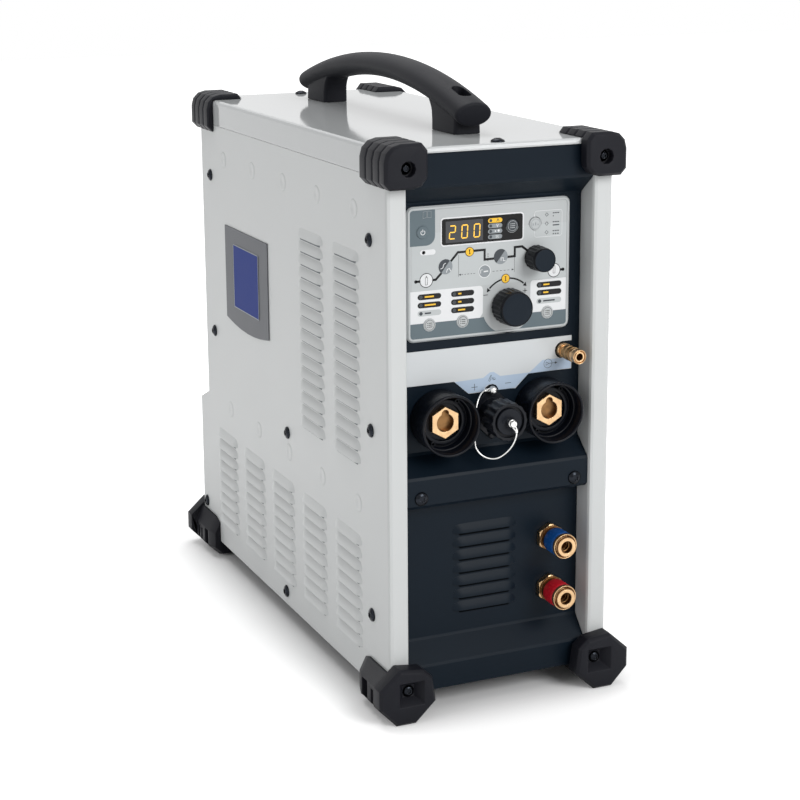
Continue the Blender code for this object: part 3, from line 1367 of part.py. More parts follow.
def fan_rotor():
    """The fan's rotor: a hub with pitched blades."""
    low, high = -FAN_DEPTH + 0.005, -0.003
    radius, middle = FAN_HUB_RADIUS, (low + high) / 2
    hub = turned([(0, low), (radius, low), (radius, high - 0.002), (radius - 0.002, high), (0, high)], 16)
    blades = []
    for i in range(FAN_BLADES):
        rings = []
        for share in (0.0, 0.5, 1.0):
            reach = (FAN_HUB_RADIUS - 0.004) * (1 - share) + (FAN_RADIUS - 0.0005) * share
            chord, pitch = 0.022 + 0.006 * share, math.radians(50 - 22 * share)
            run, rise = chord / 2 * math.cos(pitch), chord / 2 * math.sin(pitch)
            rings.append([
                (reach, -run, middle - rise),
                (reach, run * 0.9, middle + rise - 0.0014),
                (reach, run, middle + rise),
                (reach, -run * 0.9, middle - rise + 0.0014),
            ])
        blade = loft(rings)
        blades.append(tilted(blade, Matrix.Rotation(2 * math.pi * i / FAN_BLADES, 4, "Z")))
    return fused(hub, *blades)


def filler_cap():
    """The coolant filler's cap, with grip flutes round its rim."""
    rib = fluted(FILLER_CAP_RADIUS, 0.0012, 9)
    small = [(x * 0.93, y * 0.93) for x, y in rib]
    body = loft([level(rib, GAP), level(rib, 0.011), level(small, 0.0135)])
    return cut(body, extruded(circle(FILLER_NECK_RADIUS + 3 * GAP, 16), -0.01, 0.009))


# ---------------------------------------------------------------- inside
def coolant_tank():
    """The coolant tank on the cooler's left, its filler neck reaching out through the rear panel."""
    x0, x1 = 0.0044 - INNER_HALF, -0.008
    y0, y1 = LOWER_DEPTH - 0.288, LOWER_DEPTH - 0.012
    z0, z1 = 0.003 + SHEET, STEP_LOW - 0.004
    outline = rounded_box(x0, x1, y0, y1, 0.008, 2)
    small = inset(outline, 0.003)
    body = loft([level(small, z0), level(outline, z0 + 0.003), level(outline, z1 - 0.003), level(small, z1)])
    neck = extruded(circle(FILLER_NECK_RADIUS, 16), 0.0, LOWER_DEPTH - REAR_INSET + 0.0085 - y1 + 0.010)
    neck = tilted(neck, Matrix.Rotation(math.radians(-90), 4, "X"))
    shoulder = 0.0135
    wedge = [(y1 - 0.024, z1 + 0.001), (y1 + 0.001, z1 - shoulder), (y1 + 0.001, z1 + 0.001)]
    slope = extruded(wedge, x0 - 0.01, x1 + 0.01)
    slope = tilted(slope, Matrix(((0, 0, 1, 0), (1, 0, 0, 0), (0, 1, 0, 0), (0, 0, 0, 1))))
    return fused(cut(body, slope), moved(neck, FILLER_PLACE[0], y1 - 0.010, FILLER_PLACE[1]))


def coolant_pump():
    """The coolant pump: a motor can lying on a foot, with a volute and two ports."""
    can = turned([(0, 0), (0.024, 0), (0.026, 0.002), (0.026, 0.058), (0.024, 0.060), (0, 0.060)], 16)
    volute = turned([(0, 0.060 - 0.001), (0.031, 0.059), (0.031, 0.074), (0.028, 0.077), (0, 0.077)], 16)
    suction = extruded(circle(0.006, 10), 0.070, 0.095)
    delivery = tilted(extruded(circle(0.006, 10), 0.0, 0.046), Matrix.Rotation(math.radians(-90), 4, "X"))
    foot_plate = block((-0.022, -0.034, 0.006), (0.022, -0.020, 0.052))
    return fused(can, volute, suction, moved(delivery, 0.018, 0, 0.068), foot_plate)


def radiator():
    """The radiator behind the front louvres: a finned core between two headers."""
    fins, depth = 17, 0.030
    pitch = (CASE_WIDTH - 0.0576) / fins
    left = -fins * pitch / 2
    comb = [(left, 0.0), (left + fins * pitch, 0.0), (left + fins * pitch, depth)]
    for i in reversed(range(fins)):
        near, far = left + (i + 0.28) * pitch, left + (i + 0.72) * pitch
        comb += [(far, depth), (far, 0.006), (near, 0.006), (near, depth)]
    comb.append((left, depth))
    core = extruded(comb, 0.010, 0.088)
    headers = [
        block((left - 0.001, -0.001, z), (left + fins * pitch + 0.001, depth + 0.001, z + 0.011)) for z in (0.0, 0.087)
    ]
    return fused(core, *headers)


def heatsink():
    """The power stage's heatsink, fins down in the fan's draught."""
    fins, height = 12, 0.050
    pitch = CASE_WIDTH / 24
    left = -fins * pitch / 2
    comb = [(left, height), (left, 0.0)]
    for i in range(fins - 1):
        near, far = left + (i + 0.35) * pitch, left + (i + 1) * pitch
        comb += [(near, 0.0), (near, height - 0.010), (far, height - 0.010), (far, 0.0)]
    right = left + (fins - 1) * pitch + pitch * 0.35
    comb += [(right, 0.0), (right, height)]
    return extruded(comb, 0.0, CASE_DEPTH - 0.235)


def power_board():
    """The power stage's board with its capacitors and a choke."""
    half = CASE_WIDTH / 2 - 0.020
    board = block((-half, 0.0, 0.0), (half, CASE_DEPTH - 0.165, 0.002))
    cans = []
    for column in range(2):
        for row in range(3):
            can = turned([(0, 0.001), (0.015, 0.001), (0.015, 0.044), (0.014, 0.045), (0, 0.045)], 10)
            cans.append(moved(can, 0.022 - half + column * 0.034, 0.030 + row * 0.036))
    choke = block((half - 0.058, 0.150, 0.001), (half - 0.012, 0.210, 0.038))
    driver = block((0.010 - half, 0.150, 0.001), (0.060 - half, 0.225, 0.012))
    return fused(board, *cans, choke, driver)


def transformer():
    """The main transformer: a winding round the middle leg of a laminated core."""
    core = block((-0.036, 0.0, 0.0), (0.036, 0.030, 0.062))
    windows = [block((x - 0.007, -0.01, 0.012), (x + 0.007, 0.04, 0.050)) for x in (-0.017, 0.017)]
    winding = extruded(rounded_box(-0.0225, 0.0225, -0.012, 0.042, 0.008, 2), 0.0135, 0.0485)
    return fused(cut(core, *windows), winding)


def gas_solenoid():
    """The gas valve: a block in line with the rear inlet and its coil on top."""
    body = block((-0.010, -0.011, -0.034), (0.010, 0.011, 0.0))
    coil = tilted(extruded(circle(0.0105, 16), 0.008, 0.034), Matrix.Rotation(math.radians(-90), 4, "X"))
    return fused(body, moved(coil, 0, 0, -0.020))


# ---------------------------------------------------------------- assembly
def clear_scene():
    """Removes the startup objects."""
    for obj in list(bpy.data.objects):
        bpy.data.objects.remove(obj)


def build_casing(finish_of):
    """The sheet-metal casing with its corner guards, feet and handle."""
    paint, dark = finish_of["light_paint"], finish_of["dark_paint"]
    pan_rear = LOWER_DEPTH - REAR_INSET - SHEET - GAP
    node("base_pan", tray((-INNER_HALF, PAN_FRONT), (INNER_HALF, pan_rear, PAN_WALL), GAP), dark)
    deck_rear = CASE_DEPTH - REAR_INSET - SHEET - 0.002
    brim = DECK_HEIGHT + DECK_WALL
    node("deck_plate", tray((-INNER_HALF, DECK_FRONT), (INNER_HALF, deck_rear, brim), DECK_HEIGHT), dark)
    node("left_side_panel", side_panel(-1), paint)
    node("right_side_panel", side_panel(1), paint)
    node("lid", lid(), finish_of["lid_paint"])
    left, right = BEZEL_LEFT + BEZEL_COVER, BEZEL_RIGHT - BEZEL_COVER
    low, high = BEZEL_BOTTOM + BEZEL_COVER, BEZEL_TOP - BEZEL_COVER
    holes = [rounded_box(left, right, low, high, 0.002, 1), circle(GAS_STEM_RADIUS + GAP, 14, GAS_PLACE)]
    holes.append(circle(CONNECTOR_SHELL_RADIUS + GAP, 20, (0, CONNECTOR_HEIGHT)))
    for x in (-SOCKET_SPACING / 2, SOCKET_SPACING / 2):
        holes.append(circle(SOCKET_STUD_RADIUS + GAP, 20, (x, SOCKET_HEIGHT)))
    node("upper_front_panel", upper_front_panel(holes), dark)
    heights = (COOLANT_SUPPLY_HEIGHT, COOLANT_RETURN_HEIGHT)
    holes = [circle(COUPLING_STEM_RADIUS + GAP, 20, (COOLANT_X, z)) for z in heights]
    node("lower_front_panel", lower_front_panel(holes), dark)
    node("rear_upper_panel", rear_upper_panel(), dark)
    node("rear_lower_panel", rear_lower_panel(), dark)
    rubber = finish_of["rubber"]
    reflect = Matrix.Diagonal((-1, 1, 1, 1))
    guard, support = bumper(), foot()
    for name, right, depth in (("bumper", guard, CASE_DEPTH), ("foot", support, LOWER_DEPTH)):
        left = tilted(right.copy(), reflect)
        node(f"{name}_front_left", left, rubber, (0, 0, 0), FRONT)
        node(f"{name}_front_right", right, rubber, (0, 0, 0), FRONT)
        node(f"{name}_rear_left", right.copy(), rubber, (0, depth, 0), REAR)
        node(f"{name}_rear_right", left.copy(), rubber, (0, depth, 0), REAR)
    node("handle", handle(), finish_of["handle_plastic"])


def build_controls(finish_of):
    """The control surround with its window, buttons, knobs and board."""
    at = (0, RECESS_FACE, 0)
    black, grey = finish_of["black_plastic"], finish_of["grey_plastic"]
    node("control_bezel", bezel(), black, at, FRONT)
    node("display_window", display_window(), finish_of["window"], at, FRONT)
    for name, (x, z) in BUTTON_PLACES.items():
        back = BUTTON_BACK - (WINDOW_FLANGE if name == "display_button" else 0)
        node(name, button(back), grey, (x, RECESS_FACE, z), FRONT)
    for name, (x, z), radius, ribs in (
        ("main_knob", MAIN_KNOB_PLACE, MAIN_KNOB_RADIUS, 12),
        ("cycle_knob", CYCLE_KNOB_PLACE, CYCLE_KNOB_RADIUS, 9),
    ):
        node(name, knob(radius, ribs), black, (x, RECESS_FACE, z), FRONT)
    node("control_board", control_board(), finish_of["circuit"], (0, BOARD_FACE, 0), FRONT)
    node("name_strip", name_strip(), grey, at, FRONT)


def build_connectors(finish_of):
    """Everything that plugs in at the front."""
    brass, black = finish_of["brass"], finish_of["black_plastic"]
    for name, x in (("plus_socket", -SOCKET_SPACING / 2), ("minus_socket", SOCKET_SPACING / 2)):
        node(f"{name}_hood", socket_hood(), black, (x, RECESS_FACE, SOCKET_HEIGHT), FRONT)
        node(name, welding_socket(), brass, (x, RECESS_FACE, SOCKET_HEIGHT), FRONT)
    centre = (0, RECESS_FACE, CONNECTOR_HEIGHT)
    node("control_connector", control_connector(), black, centre, FRONT)
    node("dust_cap", dust_cap(), black, centre, FRONT)
    node("cap_lanyard", lanyard(), finish_of["steel"], (0, 0, CONNECTOR_HEIGHT))
    gas = (GAS_PLACE[0], RECESS_FACE, GAS_PLACE[1])
    node("gas_outlet", gas_outlet(), brass, gas, FRONT)
    node("gas_outlet_sleeve", gas_sleeve(), brass, gas, FRONT)
    for name, z, ring in (
        ("coolant_supply_coupling", COOLANT_SUPPLY_HEIGHT, finish_of["blue_ring"]),
        ("coolant_return_coupling", COOLANT_RETURN_HEIGHT, finish_of["red_ring"]),
    ):
        at = (COOLANT_X, LOWER_FACE, z)
        node(name, coupling(), brass, at, FRONT)
        node(f"{name}_sleeve", coupling_sleeve(), ring, at, FRONT)
    node("side_badge", badge(), finish_of["badge"], (-CASE_WIDTH / 2, 0, 0), LEFT)


def build_rear(finish_of):
    """The switch, inlets, fan and filler of the rear side."""
    black, brass = finish_of["black_plastic"], finish_of["brass"]
    face, lower = CASE_DEPTH - REAR_INSET, LOWER_DEPTH - REAR_INSET
    switch = (SWITCH_PLACE[0], face, SWITCH_PLACE[1])
    node("mains_switch", mains_switch(), black, switch, REAR)
    node("mains_switch_knob", switch_knob(), finish_of["handle_plastic"], switch, REAR)
    node("cable_gland", cable_gland(), black, (GLAND_PLACE[0], face, GLAND_PLACE[1]), REAR)
    node("gas_inlet", gas_inlet(), brass, (GAS_INLET_PLACE[0], face, GAS_INLET_PLACE[1]), REAR)
    node("fan_grille", fan_grille(), finish_of["steel"], (0, face, FAN_HEIGHT), REAR)
    inner = face - SHEET - GAP
    node("fan_housing", fan_housing(), black, (0, inner, FAN_HEIGHT), REAR)
    node("fan_rotor", fan_rotor(), finish_of["handle_plastic"], (0, inner, FAN_HEIGHT), REAR)
    node("filler_cap", filler_cap(), black, (FILLER_PLACE[0], lower, FILLER_PLACE[1]), REAR)


def build_inside(finish_of):
    """The power stage above the deck and the cooler below it."""
    metal = finish_of["aluminium"]
    above = DECK_HEIGHT + SHEET + GAP
    node("transformer", transformer(), finish_of["copper"], (0, 0.058, above))
    node("heatsink", heatsink(), metal, (0, CASE_DEPTH - 0.105, above + 0.012), FRONT)
    node("power_board", power_board(), finish_of["circuit"], (0, 0.125, above + 0.064))
    valve = (GAS_INLET_PLACE[0], CASE_DEPTH - 0.020, GAS_INLET_PLACE[1])
    node("gas_solenoid", gas_solenoid(), finish_of["brass"], valve, REAR)
    node("coolant_tank", coolant_tank(), finish_of["tank"])
    pump = (CASE_WIDTH / 2 - 0.048, LOWER_DEPTH - 0.138, 0.036)
    node("coolant_pump", coolant_pump(), finish_of["handle_plastic"], pump, REAR)
    node("radiator", radiator(), metal, (0, 0.062, 0.020))


def main():
    """Builds the whole machine."""
    clear_scene()
    casing = bpy.data.objects.new("casing", None)
    casing.location = (0, CASING_Y, FOOT_DROP)
    bpy.context.scene.collection.objects.link(casing)
    finish_of = finishes()
    build_casing(finish_of)
    build_controls(finish_of)
    build_connectors(finish_of)
    build_rear(finish_of)
    build_inside(finish_of)


if __name__ == "__main__":
    main()
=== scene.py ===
"""Dresses the TIG welding machine: its finishes, printed panels, small fittings, floor, light and camera.

Lengths are in millimetres in the casing's own frame, as on a drawing: X to the operator's right,
Y from the front flanges backwards, Z up from the bottom edge of the side panels. A Datum turns
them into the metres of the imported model's frame.
"""

from __future__ import annotations

import json
import logging
import math
from dataclasses import dataclass
from enum import Enum
from typing import Callable, Iterable, Sequence

import bmesh
import bpy
from bpy.types import ID, Material, Mesh, Node, NodeSocket, NodeTree, Object
from bpy.types import bpy_prop_collection as Sockets
from mathutils import Matrix, Vector

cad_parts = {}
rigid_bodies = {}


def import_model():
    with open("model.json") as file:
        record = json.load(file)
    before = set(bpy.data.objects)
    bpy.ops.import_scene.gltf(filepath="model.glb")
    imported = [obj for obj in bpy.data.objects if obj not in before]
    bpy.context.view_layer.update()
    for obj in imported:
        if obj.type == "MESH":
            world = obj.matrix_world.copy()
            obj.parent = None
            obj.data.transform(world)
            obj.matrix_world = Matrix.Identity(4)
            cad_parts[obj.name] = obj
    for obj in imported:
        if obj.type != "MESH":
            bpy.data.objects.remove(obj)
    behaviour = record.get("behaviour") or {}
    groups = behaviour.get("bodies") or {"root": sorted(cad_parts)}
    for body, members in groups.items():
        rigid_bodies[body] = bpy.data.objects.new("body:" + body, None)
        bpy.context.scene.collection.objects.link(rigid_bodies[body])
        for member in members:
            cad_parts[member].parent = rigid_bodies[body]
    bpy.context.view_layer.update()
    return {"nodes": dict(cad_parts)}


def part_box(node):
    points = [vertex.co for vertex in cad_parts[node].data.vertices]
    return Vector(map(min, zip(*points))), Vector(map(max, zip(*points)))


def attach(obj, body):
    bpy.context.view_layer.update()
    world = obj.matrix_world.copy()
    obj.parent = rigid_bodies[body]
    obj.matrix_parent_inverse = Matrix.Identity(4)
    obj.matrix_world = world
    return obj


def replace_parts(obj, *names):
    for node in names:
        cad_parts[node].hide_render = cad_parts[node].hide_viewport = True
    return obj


log = logging.getLogger("tig_welding_machine")

MM = 0.001
Flat = tuple[float, float]
Space = tuple[float, float, float]
Colour = tuple[float, float, float]
Reach = Callable[[float], float]


# ---------------------------------------------------------------- places
@dataclass(frozen=True)
class Datum:
    """The corner of the drawing: where the casing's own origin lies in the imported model's frame."""

    origin: Vector

    @classmethod
    def measured(cls) -> Datum:
        """Reads the datum off the left wall, whose front edge and bottom edge define it."""
        low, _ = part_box("left_side_panel")
        return cls(Vector((0.0, low.y, low.z)))

    def point(self, x: float, y: float, z: float) -> Vector:
        """Gives the frame's point, in metres, for a place on the drawing."""
        return self.origin + Vector((x, y, z)) * MM


@dataclass(frozen=True)
class Plane:
    """A flat face that pieces are set out on, with u to its right, v up it and w out of it."""

    datum: Datum
    base: Space
    right: Space
    up: Space

    @property
    def out(self) -> Vector:
        """The direction that leaves the face."""
        return Vector(self.right).cross(Vector(self.up))

    def at(self, u: float, v: float, w: float = 0.0) -> Vector:
        """Gives the frame's point u to the right of the face's origin, v up it and w out of it."""
        offset = Vector(self.base) + Vector(self.right) * u + Vector(self.up) * v + self.out * w
        return self.datum.point(*offset)

    def ring(self, outline: Iterable[Flat], w: float) -> list[Vector]:
        """Gives the frame's points of an outline at a height out of the face."""
        return [self.at(u, v, w) for u, v in outline]

    def matrix(self, u: float = 0.0, v: float = 0.0, w: float = 0.0) -> Matrix:
        """Gives the matrix that carries a piece drawn in millimetres to a place on the face."""
        turn = Matrix((self.right, self.up, tuple(self.out))).transposed().to_4x4()
        return Matrix.Translation(self.at(u, v, w)) @ turn @ Matrix.Scale(MM, 4)


def front_plane(datum: Datum, depth: float) -> Plane:
    """Gives the plane that faces the operator at a depth."""
    return Plane(datum, (0.0, depth, 0.0), (1.0, 0.0, 0.0), (0.0, 0.0, 1.0))


def rear_plane(datum: Datum, depth: float) -> Plane:
    """Gives the plane that faces backwards at a depth; its u runs to the operator's left."""
    return Plane(datum, (0.0, depth, 0.0), (-1.0, 0.0, 0.0), (0.0, 0.0, 1.0))


def side_plane(datum: Datum, side: Side, reach: float) -> Plane:
    """Gives the plane of a side wall; its u runs along the drawing's Y, forwards on the left."""
    return Plane(datum, (side.value * reach, 0.0, 0.0), (0.0, float(side.value), 0.0), (0.0, 0.0, 1.0))


def top_plane(datum: Datum, height: float) -> Plane:
    """Gives the plane that faces up at a height."""
    return Plane(datum, (0.0, 0.0, height), (1.0, 0.0, 0.0), (0.0, 1.0, 0.0))


class Side(Enum):
    """The casing's two sides, by the sign of X."""

    LEFT = -1
    RIGHT = 1


# ---------------------------------------------------------------- outlines
def arc(centre: Flat, radius: float, first: float, last: float, steps: int) -> list[Flat]:
    """Gives the points of an arc between two angles in degrees, both ends included."""
    turns = [math.radians(first + (last - first) * i / steps) for i in range(steps + 1)]
    return [(centre[0] + radius * math.cos(t), centre[1] + radius * math.sin(t)) for t in turns]


def spot(centre: Flat, radius: float, turn: float) -> Flat:
    """Gives the point at a distance and an angle in degrees from a centre."""
    return arc(centre, radius, turn, turn, 1)[0]


def circle(radius: float, count: int = 40, centre: Flat = (0.0, 0.0), start: float = 0.0) -> list[Flat]:
    """Gives the points of a regular outline round a centre."""
    return arc(centre, radius, start, start + 360, count)[:-1]


def rounded(left: float, right: float, low: float, high: float, radius: float, steps: int = 5) -> list[Flat]:
    """Gives an upright rectangle with round corners, anticlockwise.

    Args:
        left: Its left edge.
        right: Its right edge.
        low: Its lower edge.
        high: Its upper edge.
        radius: The corners' radius.
        steps: The number of chords in a corner.

    Returns:
        The points.
    """
    corners = (
        ((right - radius, low + radius), -90), ((right - radius, high - radius), 0),
        ((left + radius, high - radius), 90), ((left + radius, low + radius), 180)
    )
    return [p for centre, turn in corners for p in arc(centre, radius, turn, turn + 90, steps)]


def pill(centre: Flat, width: float, height: float) -> list[Flat]:
    """Gives a lozenge with half-round ends."""
    x, z = centre
    return rounded(x - width / 2, x + width / 2, z - height / 2, z + height / 2, height / 2 - 0.01, 6)


def stroke(path: Sequence[Flat], width: float) -> list[Flat]:
    """Gives the outline of a line drawn with a broad pen, its corners mitred.

    Args:
        path: The points that the pen's middle goes through.
        width: The pen's width.

    Returns:
        The closed outline.
    """
    points = [Vector(p) for p in path]
    left: list[Flat] = []
    right: list[Flat] = []
    for i, here in enumerate(points):
        before = (here - points[i - 1]).normalized() if i else None
        after = (points[i + 1] - here).normalized() if i < len(points) - 1 else None
        ahead = ((before or after) + (after or before)).normalized()
        across = Vector((-ahead.y, ahead.x))
        run = after or before
        reach = width / 2 / max(0.4, abs(across.dot(Vector((-run.y, run.x)))))
        left.append(tuple(here + across * reach))
        right.append(tuple(here - across * reach))
    return right + left[::-1]


# ---------------------------------------------------------------- mesh work
class Shape:
    """A mesh in the making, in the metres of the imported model's frame."""

    def __init__(self) -> None:
        """Starts with nothing in it."""
        self.bm = bmesh.new()

    def faces_from(self, rows: Sequence[Sequence[Vector]], close: bool = False, capped: bool = True) -> None:
        """Adds a skin through rows of points.

        Args:
            rows: Rings of equally many points; a ring of one point closes the skin there.
            close: Whether the last ring joins the first.
            capped: Whether flat faces close the two end rings.
        """
        made = [[self.bm.verts.new(p) for p in row] for row in rows]
        pairs = list(zip(made, made[1:])) + ([(made[-1], made[0])] if close else [])
        for low, high in pairs:
            count = max(len(low), len(high))
            for i in range(count):
                j = (i + 1) % count
                ring = (low[i % len(low)], low[j % len(low)], high[j % len(high)], high[i % len(high)])
                corners = list(dict.fromkeys(ring))
                if len(corners) > 2:
                    self.bm.faces.new(corners)
        if capped and not close:
            if len(made[0]) > 2:
                self.bm.faces.new(made[0][::-1])
            if len(made[-1]) > 2:
                self.bm.faces.new(made[-1])

    def prism(self, plane: Plane, outline: Sequence[Flat], low: float, high: float) -> None:
        """Adds a flat anticlockwise outline made solid, from low to high on the face."""
        self.faces_from([plane.ring(outline, low), plane.ring(outline, high)])

    def band(
        self, plane: Plane, outer: Sequence[Flat], inner: Sequence[Flat], low: float, high: float
    ) -> None:
        """Adds a flat frame between two outlines of equally many points, from low to high on the face."""
        loops = ((outer, low), (outer, high), (inner, high), (inner, low))
        self.faces_from([plane.ring(loop, w) for loop, w in loops], close=True)

    def turned(
        self, plane: Plane, centre: Flat, profile: Sequence[Flat], count: int = 48, ring: bool = False
    ) -> None:
        """Adds a profile of (radius, height) points turned about an axis; a radius of 0 closes it."""
        rows = [plane.ring(circle(r, count, centre) if r else [centre], height) for r, height in profile]
        self.faces_from(rows, close=ring)

    def lofted(
        self, plane: Plane, centre: Flat, count: int, stations: Iterable[tuple[Reach, float]],
        ring: bool = False
    ) -> None:
        """Adds a skin through outlines about a centre, each given by its reach and its height."""
        self.faces_from([plane.ring(rayed(count, reach, centre), w) for reach, w in stations], close=ring)

    def tube(self, path: Sequence[Vector], radius: float, count: int = 10, closed: bool = False) -> None:
        """Adds a round bar along a path.

        Args:
            path: Points in metres.
            radius: The bar's radius in metres.
            count: The number of facets round it.
            closed: Whether the path's end joins its start.
        """
        normal = (path[1] - path[0]).orthogonal().normalized()
        rows = []
        last = len(path) - 1
        for i, here in enumerate(path):
            ahead = path[(i + 1) % len(path)] if closed or i < last else here
            behind = path[i - 1] if closed or i else here
            run = (ahead - behind).normalized()
            normal = (normal - run * normal.dot(run)).normalized()
            side = run.cross(normal)
            rows.append([here + normal * x + side * y for x, y in circle(radius, count)])
        self.faces_from(rows, close=closed)

    def mesh(self, name: str, sharp: float = 35.0) -> Mesh:
        """Turns the work into a mesh whose faces point out, smooth up to an angle.

        Args:
            name: The mesh's name.
            sharp: The largest angle, in degrees, that is shaded smooth.

        Returns:
            The mesh.
        """
        bmesh.ops.recalc_face_normals(self.bm, faces=self.bm.faces)
        made = bpy.data.meshes.new(name)
        self.bm.to_mesh(made)
        self.bm.free()
        return creased(made, sharp)


def creased(mesh: Mesh, sharp: float) -> Mesh:
    """Shades a mesh smooth up to an angle in degrees."""
    mesh.shade_smooth()
    mesh.set_sharp_from_angle(angle=math.radians(sharp))
    return mesh


def linked(name: str, data: ID) -> Object:
    """Puts data into the scene as an object."""
    made = bpy.data.objects.new(name, data)
    bpy.context.scene.collection.objects.link(made)
    return made


def applied(host: Object, name: str, *helpers: Object) -> Mesh:
    """Applies an object's modifiers and removes it.

    Args:
        host: The object.
        name: The new mesh's name.
        *helpers: Other objects that go with it.

    Returns:
        The mesh that its modifiers give.
    """
    graph = bpy.context.evaluated_depsgraph_get()
    mesh = bpy.data.meshes.new_from_object(host.evaluated_get(graph))
    mesh.name = name
    for helper in (host, *helpers):
        bpy.data.objects.remove(helper)
    return mesh


def shrunk(outline: Sequence[Flat], distance: float) -> list[Flat]:
    """Gives the outline moved inwards, corner by corner.

    Args:
        outline: The outline.
        distance: How far it moves.

    Returns:
        The moved points.
    """
    moved = []
    count = len(outline)
    for i in range(count):
        here, last, following = (Vector(outline[k % count]) for k in (i, i - 1, i + 1))
        before, after = (here - last).normalized(), (following - here).normalized()
        inward = Vector((-before.y - after.y, before.x + after.x)).normalized()
        reach = distance / max(0.3, inward.dot(Vector((-before.y, before.x))))
        moved.append(tuple(here + inward * reach))
    return moved


def placed(mesh: Mesh, finish: Material | None, body: str) -> Object:
    """Puts a finished mesh into the scene as a piece of the machine.

    Args:
        mesh: The mesh, in the frame's metres; its name becomes the piece's name.
        finish: Its material, or None where the mesh has its own.
        body: The body that it moves with.

    Returns:
        The piece.
    """
    piece = linked(mesh.name, mesh)
    if finish is not None:
        mesh.materials.clear()
        mesh.materials.append(finish)
    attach(piece, body)
    log.info("%s: %d faces on %s", piece.name, len(mesh.polygons), body)
    return piece


# ---------------------------------------------------------------- node trees
class Tree:
    """A node tree that is filled in line by line."""

    def __init__(self, tree: NodeTree) -> None:
        """Wraps an empty or default tree."""
        self.tree = tree

    def node(self, kind: str, settings: dict | None = None, **inputs: object) -> Node:
        """Adds a node.

        Args:
            kind: The node's type name.
            settings: Its own properties by name.
            **inputs: Its inputs, as fed takes them.

        Returns:
            The node.
        """
        made = self.tree.nodes.new(kind)
        for name, value in (settings or {}).items():
            setattr(made, name, value)
        return self.fed(made, **inputs)

    def fed(self, node: Node, **inputs: object) -> Node:
        """Gives a node its inputs.

        Args:
            node: The node.
            **inputs: Values or output sockets by input name, blanks written as underscores, or iN by number.

        Returns:
            The node.
        """
        for name, value in inputs.items():
            number = name[1:].isdigit() and name[0] == "i"
            socket = node.inputs[int(name[1:]) if number else name.replace("_", " ")]
            if isinstance(value, NodeSocket):
                self.tree.links.new(value, socket)
            else:
                socket.default_value = value
        return node

    def group(self, tree: NodeTree, **inputs: object) -> Sockets:
        """Adds a shared shader group and gives its outputs."""
        return self.node("ShaderNodeGroup", {"node_tree": tree}, **inputs).outputs

    def maths(self, operation: str, *values: object, clamp: bool = False) -> NodeSocket:
        """Adds a Math node on numbers or sockets and gives its result, kept from 0 to 1 if clamped."""
        inputs = {f"i{i}": value for i, value in enumerate(values)}
        return self.node("ShaderNodeMath", {"operation": operation, "use_clamp": clamp}, **inputs).outputs[0]

    def mixed(self, share: object, first: object, second: object) -> NodeSocket:
        """Adds a colour mix, all first at a share of 0 and all second at 1, and gives its result."""
        return self.node("ShaderNodeMix", {"data_type": "RGBA"}, i0=share, i6=first, i7=second).outputs[2]

    def noise(self, where: NodeSocket, scale: object, detail: float) -> NodeSocket:
        """Adds a noise texture and gives its level."""
        return self.node("ShaderNodeTexNoise", Vector=where, Scale=scale, Detail=detail).outputs["Fac"]


def interfaced(tree: NodeTree, inputs: dict[str, tuple[str, object]], outputs: dict[str, str]) -> None:
    """Gives a group its named sockets.

    Args:
        tree: The group.
        inputs: Socket type and default by name.
        outputs: Socket type by name.
    """
    for name, (kind, default) in inputs.items():
        socket = tree.interface.new_socket(name, in_out="INPUT", socket_type=kind)
        if default is not None:
            socket.default_value = default
    for name, kind in outputs.items():
        tree.interface.new_socket(name, in_out="OUTPUT", socket_type=kind)


SKIN_OUTPUTS = {"Colour": "NodeSocketColor", "Roughness": "NodeSocketFloat", "Height": "NodeSocketFloat"}


